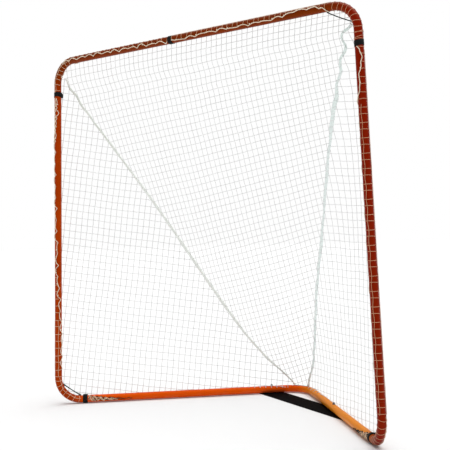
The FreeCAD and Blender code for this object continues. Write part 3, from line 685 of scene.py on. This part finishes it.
def wavy(points, phase):
    """Lattice points moved a little, as netting that isn't pulled quite tight."""
    p, q = points[:, 0], points[:, 1]
    wave = 0.0013
    du = wave * (np.sin(9.1 * q + 2.3 * p + phase) + 0.6 * np.sin(23.0 * q - 7.0 * p + 2 * phase))
    dv = wave * (np.sin(8.3 * p + 3.1 * q + 1.7 * phase) + 0.6 * np.sin(21.0 * p + 6.0 * q + phase))
    return points + np.stack([du, dv], axis=1)


class Panel:
    """A net panel: a lattice of strands clipped to an outline and laid on a surface."""

    def __init__(self, outline, place, pitches, shift, phase, twine=TWINE):
        self.place, self.phase, self.twine = place, phase, twine
        shift = (shift[0] * pitches[0], shift[1] * pitches[1])
        self.rows = list(strands_of(outline, 1, shift, pitches))
        self.columns = list(strands_of(outline, 0, shift, pitches))

    def line(self, points, sag):
        """A strand's points in three dimensions, its spans between knots sagging a little."""
        placed = self.place(wavy(points, self.phase))
        placed[1::2] += vec(0, 0, -sag)
        return off_the_tubes(placed, NET_LIFT)

    def weave(self, maker, row_across, column_across, wrap_rows=None, wrap_columns=None):
        """Add every strand and knot.  The wraps carry a strand on round the tube it comes to."""
        places = {}
        for number, points, knots in self.rows:
            line = self.line(points, ROW_SAG)
            for k, index in knots:
                places[(k, number)] = line[index]
            if wrap_rows:
                wrap_rows(points, line)
            maker.strand(line, self.twine, row_across)
        for number, points, knots in self.columns:
            line = self.line(points, 0.0)
            jitter = random.normal(0, JITTER, (len(line), 3))
            line[1::2] += jitter[1::2]
            if wrap_columns:
                wrap_columns(points, line)
            maker.strand(line, self.twine, column_across)
            for tip in (line[0], line[-1]):
                maker.knot(tip, self.twine * KNOT)
        for place in places.values():
            maker.knot(place, self.twine * KNOT * random.uniform(0.85, 1.15, 3))


def wrap_line(s, start, end):
    """Points on the tube at distance s from angle start to angle end."""
    count = max(2, int(abs(end - start) / WRAP_STEP) + 1)
    share = np.linspace(0, 1, count)
    bow = WRAP_BOW * np.sin(math.pi * share) * math.sin(s * 97)
    return rail.skin(s + bow, start + (end - start) * share, WRAP_LIFT)


# where the bends begin and end along the rail, and where the straps are
CORNER_TOP = {side: rail.arc(2 if side > 0 else 1) for side in BOTH}
CORNER_LOW = {side: rail.arc(3 if side > 0 else 0) for side in BOTH}
STRAP_HEIGHT = 1.690
STRAP_S = {
    "crossbar": -0.098,
    "left_post": float(rail.at_height(-1, STRAP_HEIGHT)),
    "right_post": float(rail.at_height(1, STRAP_HEIGHT)),
    "left_base": CORNER_LOW[-1][0] - 0.024,
    "right_base": CORNER_LOW[1][1] + 0.026,
}
STRAP_HALF = 0.014
BEHIND = math.radians(-100)
RAIL_END = 3.4


def height_angles(side, pairs):
    return [(float(rail.at_height(side, z)), math.radians(a)) for z, a in pairs]


# the angle round the tube at which the edge cord lies, by height on the posts and by distance
# on the crossbar
CORD_ANGLE = sorted(
    height_angles(-1, [
        (0.40, -100), (0.44, -80), (0.50, -70), (0.60, -54), (0.68, -30), (0.76, -20),
        (0.84, -32), (0.92, -4), (1.00, -12), (1.10, 2), (1.25, 12), (1.45, 12), (1.55, -8),
        (1.62, -20), (1.72, -12),
    ])
    + [(s, math.radians(a)) for s, a in [
        (-0.90, 10), (-0.80, -2), (-0.62, 4), (-0.45, -8), (-0.30, -10), (-0.20, -18),
        (-0.10, -26), (0.00, -32), (0.115, -16), (0.20, -14), (0.30, -22), (0.45, -22),
        (0.55, -14), (0.60, 14), (0.65, 24), (0.72, 18), (0.755, -10), (0.80, -100),
    ]]
    + height_angles(1, [
        (1.72, -100), (1.685, -20), (1.655, 20), (1.625, 58), (1.60, 28), (1.55, 4), (1.50, 8),
        (1.455, -40), (1.42, -100),
    ])
    + [(RAIL_END, BEHIND), (-RAIL_END, BEHIND)]
)


def cord_angle(s):
    return smooth(CORD_ANGLE, s)


# the angles at which the panels leave the posts and the crossbar
TANGENT_SIDE = math.radians(133)
TANGENT_BAR = math.radians(153)
LOW_EDGE = 0.006  # the net's lower edge above the base tubes' centre line
AT_POST = 0.012  # a row that starts this near the post goes on round it
WRAPS_TOP = 1.74
TIE_DOWN = (0.003, 0.06)  # the gaps over the base tube that a column is tied down across
LEG_LIFT = 0.0016
# how a side panel's rows slope and fan out and its columns lean
SIDE_LATTICE = {-1: (-0.155, 0.0, 0.12), 1: (-0.11, 0.17, -0.12)}
SIDE_BILLOW = 0.018
# how the centre panel's columns lean, its rows tilt and its cells narrow to one side
CENTRE_LATTICE = (0.09, 0.19, 0.0667)
CENTRE_DROP = unit(vec(0, 0.94, -1.84))
CENTRE_BELLY = 0.030


def side_place(side):
    """The map from a side panel's lattice to three dimensions, its outline in the lattice, and
    the map from the lattice to the panel's plane: along the base tube and up the post."""
    origin = LOW[side] + OUT[side] * (TUBE + NET_LIFT)
    axes = np.stack([BACK[side], RISE[side], OUT[side]])
    seam = (SEAM[side] - origin) @ np.linalg.inv(axes)
    reach, height, bulge = seam[np.argsort(seam[:, 1])].T
    slope, fan, lean = SIDE_LATTICE[side]

    def to_plane(points):
        p, q = np.asarray(points, float).T
        return p + lean * q, q + (slope + fan * q) * p

    def to_lattice(points):
        u, v = np.asarray(points, float).T
        p, q = u, v
        for _ in range(40):
            p, q = u - lean * q, v - (slope + fan * q) * p
        return np.stack([p, q], axis=1)

    def place(points):
        u, v = to_plane(points)
        share = np.clip(u / np.maximum(np.interp(v, height, reach), 0.02), 0, 1.2)
        billow = np.sin(math.pi * np.clip(share, 0, 1)) * np.sin(math.pi * np.clip(v / 1.7, 0, 1))
        out = np.interp(v, height, bulge) * share ** 1.5 + SIDE_BILLOW * billow
        return origin + np.stack([u, v, out], axis=1) @ axes

    bend = np.linspace(0, math.pi / 2, 14)
    corner = BEND * np.stack([1 - np.sin(bend), 1 - np.cos(bend)], axis=1)
    corner[:, 1] = np.maximum(corner[:, 1], LOW_EDGE)
    seam = seam[:, :2]
    foot, top = (seam[-1, 0], LOW_EDGE), (0.0, seam[0, 1] + 0.004)
    return place, to_lattice(np.concatenate([seam, [foot], corner, [top]])), to_plane


# angle round the post, lowest and highest height of each net strand along it
LONG_STRANDS = {
    -1: [(108, 0.15, 1.66), (-46, 0.15, 0.46), (60, 0.15, 0.46)],
    1: [(108, 0.15, 1.66), (4, 0.15, 1.43), (-98, 0.15, 1.40)],
}


def hoops(maker, span, start, end, count, middle=None):
    """Net strands across a bend, and one along it."""
    lo, hi = sorted(span)
    if middle is not None:
        along = np.linspace(lo, hi, 30)
        angle = np.radians(middle + 7 * np.sin(along * 70))
        across = rail.skin(lo, angle[0], 0.01) - rail.centre(lo)
        maker.strand(rail.skin(along, angle, LONG_LIFT), WRAP_TWINE, across)
    for i in range(count):
        s = lo + (hi - lo) * (i + 0.5) / count
        turn = np.radians(np.linspace(start, end, 20))
        drift = 0.004 * np.sin(turn * 1.3 + i)
        along = unit(rail.centre(s + 0.01) - rail.centre(s - 0.01))
        line = rail.skin(s + drift, turn, WRAP_LIFT)
        maker.strand(line, WRAP_TWINE, along)
        for tip in (line[0], line[-1]):
            maker.knot(tip, WRAP_TWINE * END_KNOT)


def side_panel(side, word):
    """A side panel from its post back to its seam, with its wraps round the post."""
    place, outline, to_plane = side_place(side)
    panel = Panel(outline, place, SIDE_PITCHES[side], (0.5, 0.3), 1.3 + side, SIDE_TWINE[side])
    maker, wraps = Maker(), Maker()

    def wrap(points, line):
        """A row that reaches the post goes on round its outside to the edge cord."""
        u = to_plane(points[:1])[0][0]
        z = float(line[0][2])
        if u < AT_POST and LOW_Z + BEND < z < WRAPS_TOP:
            s = float(rail.at_height(side, z))
            round_tube = wrap_line(s, float(cord_angle(s)), TANGENT_SIDE)
            wraps.strand(np.concatenate([round_tube, line[:1]]), WRAP_TWINE, RISE[side])

    bottom = BACK[side] * np.linspace(0.12, 1.24, 90)[:, None] + UP * LOW_EDGE
    bottom = off_the_tubes(LOW[side] + OUT[side] * (TUBE + NET_LIFT) + bottom, NET_LIFT)

    def tie_down(points, line):
        """A column whose lower end lies over the base tube goes down to the strand along it."""
        gaps = np.linalg.norm(bottom - line[0], axis=1)
        nearest = int(gaps.argmin())
        if 0 < nearest < len(bottom) - 1 and TIE_DOWN[0] < gaps[nearest] < TIE_DOWN[1]:
            share = np.linspace(0, 1, 8)[:, None]
            leg = off_the_tubes(line[0] * (1 - share) + bottom[nearest] * share, LEG_LIFT)
            maker.strand(leg, TWINE, BACK[side])

    panel.weave(maker, UP, BACK[side], wrap_rows=wrap, wrap_columns=tie_down)
    maker.strand(bottom, TWINE * 1.3, UP)
    for end in (bottom[0], bottom[-1]):
        maker.knot(end, TWINE * 2.2)
    post = [rail.at_height(side, z) for z in np.linspace(0.15, 1.75, 160)]
    for angle, low, high in LONG_STRANDS[side]:
        chosen = [s for s in post if low < rail.centre(s)[2] < high]
        wander = np.radians(angle + 5 * np.sin(np.arange(len(chosen)) * 0.7))
        wraps.strand(rail.skin(chosen, wander, LONG_LIFT), WRAP_TWINE, OUT[side])
    hoops(wraps, CORNER_LOW[side], -100, 140, 7, middle=-70.0 if side < 0 else 80.0)
    if side > 0:
        hoops(wraps, (CORNER_TOP[1][0], STRAP_S["right_post"] - STRAP_HALF), -100, 150, 10)
    else:
        bend = (STRAP_S["left_post"] + STRAP_HALF, CORNER_TOP[-1][1])
        hoops(wraps, bend, -75, 150, 8, middle=-8.0)
    made = maker.object(f"{word}_netting", NET, "net_twine")
    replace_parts(made, f"net_{word}_panel")
    wraps.object(f"{word}_post_wraps", WRAP[side], "net_twine")


def centre_panel():
    """The panel from the crossbar down to the apex, between the two seams."""
    edge = rail.skin(0.0, TANGENT_BAR, NET_LIFT)
    drop = CENTRE_DROP
    heights = {side: SEAM[side][::-1, 2] for side in BOTH}

    def along_seam(side, z, axis):
        return np.interp(z, heights[side], SEAM[side][::-1, axis])

    def surface(x, d):
        """Three dimensions for a distance across and a distance down the slope."""
        z = edge[2] + d * drop[2]
        left, right = (along_seam(side, z, 0) for side in BOTH)
        share = np.clip((x - left) / np.maximum(right - left, 0.02), 0, 1)
        y = along_seam(-1, z, 1) * (1 - share) + along_seam(1, z, 1) * share
        top = max(SEAM[-1][0, 2], SEAM[1][0, 2])
        lead = np.clip((edge[2] - z) / (edge[2] - top + 0.05), 0, 1)
        y = np.where(lead < 1, edge[1] * (1 - lead) + y * lead, y)
        belly = CENTRE_BELLY * np.sin(math.pi * share) * np.sin(math.pi * np.clip(d / 2.05, 0, 1))
        return np.stack([x, y, z], axis=-1) + belly[:, None] * vec(0, -0.89, -0.46)

    lean, tilt, gather = CENTRE_LATTICE

    def place(points):
        p, q = points.T
        x = p - lean * q
        x = x - gather * x * x
        return surface(x, q * (1 - tilt * x))

    def to_lattice(x, d):
        q = d / (1 - tilt * x)
        return (1 - math.sqrt(1 - 4 * gather * x)) / (2 * gather) + lean * q, q

    outline = []
    for side in BOTH:
        seam = [(x, (z - edge[2]) / drop[2]) for x, _, z in SEAM[side]]
        arc = rail.centre(np.linspace(*CORNER_TOP[side], 14)[::side])
        bend = [(x, z) for x, _, z in arc if z > SEAM[side][0, 2]]
        corner = [(x, max((z - edge[2]) / drop[2], 0.0)) for x, z in bend]
        half = corner + seam
        outline.extend(half if side > 0 else half[::-1])
    outline = outline[len(outline) // 2:] + outline[:len(outline) // 2]
    outline = np.array([to_lattice(x, d) for x, d in outline])
    panel = Panel(outline, place, CENTRE_PITCHES, (0.35, 0.45), 0.4)
    maker, wraps = Maker(), Maker()

    def wrap(points, line):
        """A column that reaches the crossbar goes over it to the edge cord."""
        x = float(line[0][0])
        lo, hi = CORNER_TOP[-1][1], CORNER_TOP[1][0]
        if points[0][1] < 0.02 and lo < x < hi:
            round_tube = wrap_line(x, float(cord_angle(x)), TANGENT_BAR)
            wraps.strand(np.concatenate([round_tube, line[:1]]), WRAP_TWINE, vec(1, 0, 0))

    panel.weave(maker, UP, vec(1, 0, 0), wrap_columns=wrap)
    s = np.linspace(CORNER_TOP[-1][1], CORNER_TOP[1][0], 170)
    for angle, swing, low, high in ((122, 6, -0.8, 0.8), (68, 8, -0.09, 0.8)):
        chosen = s[(s > low) & (s < high)]
        wander = np.radians(angle + swing * np.sin(chosen * 83) + 3 * np.sin(chosen * 31))
        wraps.strand(rail.skin(chosen, wander, LONG_LIFT), WRAP_TWINE, UP)
    made = maker.object("centre_netting", NET, "net_twine")
    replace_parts(made, "net_centre_panel")
    wraps.object("crossbar_wraps", WRAP[0], "net_twine")


centre_panel()
for word, side in SIDES.items():
    side_panel(side, word)


# -------- seam bands
# half the bundle's width by distance from the seam's top
BUNDLE = {
    -1: [(0, 0.0060), (0.10, 0.0078), (0.4, 0.0076), (1.6, 0.0092), (2.2, 0.0070)],
    1: [(0, 0.0060), (0.25, 0.0065), (0.42, 0.0100), (1.0, 0.0085), (2.2, 0.0055)],
}
BUNDLE_FLAT = {-1: 0.8, 1: 0.45}
LACE, LACE_PITCH = 0.0009, 0.034
APEX_CORD = 0.0022


def seam_band(side, word):
    """A gathered tape that laces a side panel to the centre panel, and the cord round it."""
    lengths = distances(SEAM[side])
    s = np.linspace(0, lengths[-1], 420)
    points = np.stack([np.interp(s, lengths, SEAM[side][:, i]) for i in range(3)], axis=1)
    phase = 2.0 * side
    ripple = 0.0012 * np.sin(s * 31 + phase) + 0.0005 * np.sin(s * 143 + 2 * phase)
    points = points + OUT[side] * ripple[:, None]
    width = smooth(BUNDLE[side], s)
    width = width * (1 + 0.09 * np.sin(s * 47 + phase) + 0.04 * np.sin(s * 211))
    tangents = tangents_of(points)
    flat_way = units(np.cross(tangents, vec(0.3 * side, -0.9, 0.3)))
    other_way = np.cross(tangents, flat_way)
    turn = (0.55 * np.sin(s * 3.1 + phase) + 0.3 * np.sin(s * 17.0))[:, None]
    across = other_way * np.cos(turn) + flat_way * np.sin(turn)
    points = off_the_tubes(points, 0.004)
    maker = Maker()
    maker.strand(points, width, across, sides=12, flat=BUNDLE_FLAT[side])
    made = maker.object(f"{word}_seam_tape", BAND[side], "seam_band")
    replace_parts(made, f"{word}_seam_band")
    spin = (TAU * s / LACE_PITCH)[:, None]
    winding = across * 0.5 * np.cos(spin) + np.cross(tangents, across) * np.sin(spin)
    lace = points + (width * 1.02)[:, None] * winding
    lacing = Maker()
    lacing.strand(off_the_tubes(lace, 0.002), LACE, UP)
    lacing.object(f"{word}_seam_lacing", NET, "net_twine")


for word, side in SIDES.items():
    seam_band(side, word)


def apex_lacing():
    """The cord along the top of the rear bend that ties down the two seams' feet."""
    maker = Maker()
    x = base_line[:, 0]
    near = base_line[(x > SEAM_TIED[-1][0]) & (x < SEAM_TIED[1][0])]
    for lift, shift in ((0.0022, 0.0), (0.0016, 0.005), (0.0016, -0.005)):
        wander = 0.0015 * np.sin(near[:, :1] * 150 + shift * 900) * vec(0, 1, 0)
        maker.strand(near + wander + vec(0, shift, TUBE + lift), APEX_CORD, UP, sides=8)
    maker.object("apex_lacing", BAND[1], "seam_band")


apex_lacing()


# -------- edge cords
CORD = 0.0019
CORD_LIFT = CORD + 0.0008
CORD_KNOTS = (0.0024, 0.0036)  # the least and most radius of the knots under the cord
POST_CORD_LOW = 0.187


def edge_cord(name, spans, node):
    """A cord along the net's edge on a tube, drawn in small scallops through the net."""
    scallop_length = 2 * CENTRE_PITCHES[0]
    maker = Maker()
    for start, end, scallop in spans:
        peaks = np.arange(start + scallop_length / 2, end, scallop_length)
        turns = cord_angle(peaks) + scallop * 0.8
        for place in rail.skin(peaks, turns, CORD):
            maker.knot(place, random.uniform(*CORD_KNOTS, 3))
        s = np.arange(start, end, 0.003)
        loop = np.abs(np.sin(s * math.pi / scallop_length)) * 2 - 1
        uneven = scallop * loop * (1 + 0.5 * np.sin(s * 37)) + 0.10 * np.sin(s * 61)
        line = rail.skin(s, cord_angle(s) + uneven, CORD_LIFT)
        maker.strand(line, CORD, line - rail.centre(s), sides=8)
    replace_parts(maker.object(name, EDGE, "edge_cord"), node)


def edge_cords():
    """The crossbar's cord in two spans and each post's, which doubles back on the left."""
    strap = STRAP_S["crossbar"]
    bar_spans = [(-0.86, strap - STRAP_HALF, 0.26), (strap + STRAP_HALF, 0.792, 0.14)]
    edge_cord("crossbar_lacing", bar_spans, "top_edge_cord")
    for word, side in SIDES.items():
        foot = float(rail.at_height(side, POST_CORD_LOW))
        low, high = sorted((foot, STRAP_S[f"{word}_post"] + side * 0.016))
        spans = [(low, high, 0.30 if side < 0 else 0.10)]
        if side < 0:
            spans.append((float(rail.at_height(side, 1.42)), high, -0.42))
        edge_cord(f"{word}_post_lacing", spans, f"{word}_edge_cord")


edge_cords()


# -------- straps
WEBBING_HALF_WIDTH = 0.0125
WEBBING_HALF_THICK = 0.0009
WEBBING_LIFT = WEBBING_HALF_THICK + 0.0004
STRAP_TURNS = TAU * 1.16
STRAP_TAIL = 0.016
TAIL_CURL = 0.0022
TAIL_POINTS = 8
# the tube under each strap, how far the strap runs along it from one side to the other, the
# angle at which its outer end lies, and which way round it is wound
STRAPS = {
    "crossbar": ("top_left_corner_tube", 0.002, 150, 1),
    "left_post": ("top_left_corner_tube", 0.012, -120, -1),
    "right_post": ("top_right_corner_tube", 0.004, 200, 1),
    "left_base": ("left_base_tube", 0.005, -150, -1),
    "right_base": ("right_base_tube", 0.005, -150, -1),
}


def strap(name, tube, slant, start, way):
    """A webbing strap wound once round a tube over its own end, with a short free tail."""
    turns = np.linspace(0, STRAP_TURNS, 90)
    angle = start + way * (turns - STRAP_TURNS)
    s = STRAP_S[name] + slant * np.sin(angle - start) / 2
    overlap = np.clip((turns - TAU * 0.98) / 0.6, 0, 1)
    line = rail.skin(s, angle, WEBBING_LIFT + 2.1 * WEBBING_HALF_THICK * overlap)
    outward = units(line - rail.centre(s))
    leave = unit(line[-1] - line[-2])
    reach = np.linspace(STRAP_TAIL / TAIL_POINTS, STRAP_TAIL, TAIL_POINTS)[:, None]
    curl = TAIL_CURL * np.linspace(0, 1, TAIL_POINTS)[:, None] ** 2
    free = line[-1] + leave * reach + outward[-1] * curl
    line = np.concatenate([line, free])
    outward = np.concatenate([outward, np.repeat(outward[-1:], TAIL_POINTS, axis=0)])
    maker = Maker()
    maker.ribbon(line, outward, WEBBING_HALF_WIDTH, WEBBING_HALF_THICK)
    made = maker.object(name + "_webbing", STRAP, "strap_black")
    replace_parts(made, name + "_strap")
    length = float(distances(line)[-1])


for name, (tube, slant, start, way) in STRAPS.items():
    strap(name, tube, slant, math.radians(start), way)


# -------- lacing on the base tubes
BUNCHED = 0.0014


def base_lacing(word, side, length):
    """The net's lower edge bunched along the base tube: strands that cross and thin out, every
    third one a dark cord that is painted shadow among the loops.
    """
    start = STRAP_S[f"{word}_base"] + side * 0.015
    light, dark = Maker(), Maker()
    for number in range(8):
        # painted shadow: every third strand is a dark cord standing in for the shadow among the
        # loops
        maker, longest = (dark, 1.8) if number % 3 == 1 else (light, 1.2)
        reach = length * longest * random.uniform(0.6, 1.0)
        wave, phase = random.uniform(110, 210), random.uniform(0, TAU)
        along = np.linspace(0, reach, 80)
        share = along / (longest * length)
        middle = math.radians(-72) + 0.75 * share ** 0.6 + 0.12 * math.sin(number * 2.3)
        swing = 0.60 * (1 - share) ** 1.3 + 0.06
        angle = middle + swing * np.sin(wave * along + phase) + 0.08 * np.sin(2.7 * wave * along)
        line = rail.skin(start + side * along, angle, BUNCHED + 0.0006 * (number % 4))
        maker.strand(line, BUNCHED, rail.skin(start, angle[0], 0.01) - rail.centre(start))
    light.object(f"{word}_base_lacing", WRAP[-1], "edge_cord")
    dark.object(f"{word}_base_painted_shadow_lacing", TIE, "tie_cord")


base_lacing("left", -1, 0.135)
base_lacing("right", 1, 0.120)


# -------- corner ties
TIE_SAG = 0.002


def tie(name, first, last, inside, radius, material, strands=1, hug=None, hitch=0.28):
    """A cord hitched behind the tube at two places and drawn across the corner between them.

    inside is the angle that faces across the corner, and hitch the turns behind the tube.  A
    cord that hugs the tube follows it at the angle hug instead.
    """
    maker = Maker()
    for number in range(strands):
        gap = (number - (strands - 1) / 2) * 2.4 * radius
        loop = np.linspace(-hitch * TAU, 0, 24)
        climb = np.linspace(-1.2, 1.2, 24) * radius
        ring = rail.skin(first + gap + climb, inside + loop, radius * 1.05)
        other = rail.skin(last + gap - climb[::-1], inside + loop[::-1], radius * 1.05)
        if hug is None:
            share = np.linspace(0, 1, 26)[1:-1, None]
            link = ring[-1] * (1 - share) + other[0] * share
            link -= UP * TIE_SAG * np.sin(math.pi * share)
        else:
            s = np.linspace(first, last, 40)[2:-2]
            angle = hug + (inside - hug) * np.abs(np.linspace(-1, 1, 36)) ** 6
            link = rail.skin(s, angle, radius * 1.2)
        line = np.concatenate([ring, link, other])
        maker.strand(line, radius, carried(tangents_of(line), vec(0.3, 1, 0.2)), sides=8)
        for end in (ring[0], other[-1]):
            maker.knot(end, radius * END_KNOT)
    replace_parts(maker.object(name + "_cord", material, "tie_cord"), name)


INSIDE_TOP = math.radians(-90)
INSIDE_LOW = math.radians(-137)
TOP_TIE = {
    -1: {"radius": 0.0018, "material": EDGE, "hug": math.radians(-165)},
    1: {"radius": 0.0024, "material": TIE},
}
BASE_TIE = {
    -1: {"radius": 0.0024, "material": GREEN_TIE, "strands": 2, "hitch": 0.10},
    1: {"radius": 0.0020, "material": TIE, "hitch": 0.10},
}


def corner_ties(word, side):
    """The cords across the insides of a post's two bends."""
    near = 0 if side > 0 else 1
    top, low = CORNER_TOP[side][near], CORNER_LOW[side][near]
    tie(f"{word}_top_tie", top - side * 0.027, top + side * 0.142, INSIDE_TOP, **TOP_TIE[side])
    tie(f"{word}_base_tie", low + side * 0.052, low + side * 0.184, INSIDE_LOW, **BASE_TIE[side])


for word, side in SIDES.items():
    corner_ties(word, side)


# -------- floor, light, camera
FLOOR_REACH, FLOOR_SIDES, FLOOR_Z = 60.0, 64, -0.0005


def floor():
    """A wide pale disc just under the goal."""
    mesh = bpy.data.meshes.new("studio_floor")
    turns = [TAU * i / FLOOR_SIDES for i in range(FLOOR_SIDES)]
    ring = [(FLOOR_REACH * math.cos(a), FLOOR_REACH * math.sin(a), FLOOR_Z) for a in turns]
    mesh.from_pydata(ring, [], [list(range(FLOOR_SIDES))])
    s = Surface("pale floor", roughness=0.9, specular_ior_level=0.0)
    s.colour(s.mix(s.patches(s.noise(0.4, 2.0)), grey(0.83), grey(0.85)))
    mesh.materials.append(s.material)
    in_scene("studio_floor", mesh)


def sun(name, towards, spread, power):
    """A wide soft light from one direction."""
    lamp = bpy.data.lights.new(name, "SUN")
    lamp.angle, lamp.energy = math.radians(spread), power
    direction = Vector(towards).to_track_quat("Z", "Y")
    in_scene(name, lamp).rotation_euler = direction.to_euler()


def studio():
    """A white backdrop that lights the goal less brightly than the camera sees it."""
    world = bpy.data.worlds.new("studio")
    bpy.context.scene.world = world
    world.use_nodes = True
    nodes, links = world.node_tree.nodes, world.node_tree.links
    lit, seen = nodes["Background"], nodes.new("ShaderNodeBackground")
    for background, strength in ((lit, 0.42), (seen, 1.0)):
        background.inputs["Color"].default_value = (1, 1, 1, 1)
        background.inputs["Strength"].default_value = strength
    path, mixer = nodes.new("ShaderNodeLightPath"), nodes.new("ShaderNodeMixShader")
    links.new(path.outputs["Is Camera Ray"], mixer.inputs["Fac"])
    links.new(lit.outputs[0], mixer.inputs[1])
    links.new(seen.outputs[0], mixer.inputs[2])
    links.new(mixer.outputs[0], nodes["World Output"].inputs["Surface"])
    bpy.context.scene.view_settings.view_transform = "Standard"
    sun("overhead", (0.15, 0.14, 1.0), 70.0, 2.70)


def camera():
    """The photograph's viewing angle: to the right of the mouth, looking slightly down."""
    data = bpy.data.cameras.new("camera")
    made = in_scene("camera", data)
    data.sensor_width, data.lens = 36.0, 69.6
    data.shift_x, data.shift_y = 0.12, -0.12
    made.location = (2.58, -3.807, 0.902)
    down, left, roll = (
        Matrix.Rotation(math.radians(turn), 3, axis)
        for turn, axis in ((-3.0, "X"), (39.18, "Y"), (-1.9, "Z"))
    )
    level = Matrix(((1, 0, 0), (0, 0, -1), (0, 1, 0)))
    right, below, ahead = down @ left @ roll @ level
    made.rotation_euler = Matrix((right, -below, -ahead)).transposed().to_euler()
    bpy.context.scene.camera = made


floor()
studio()
camera()
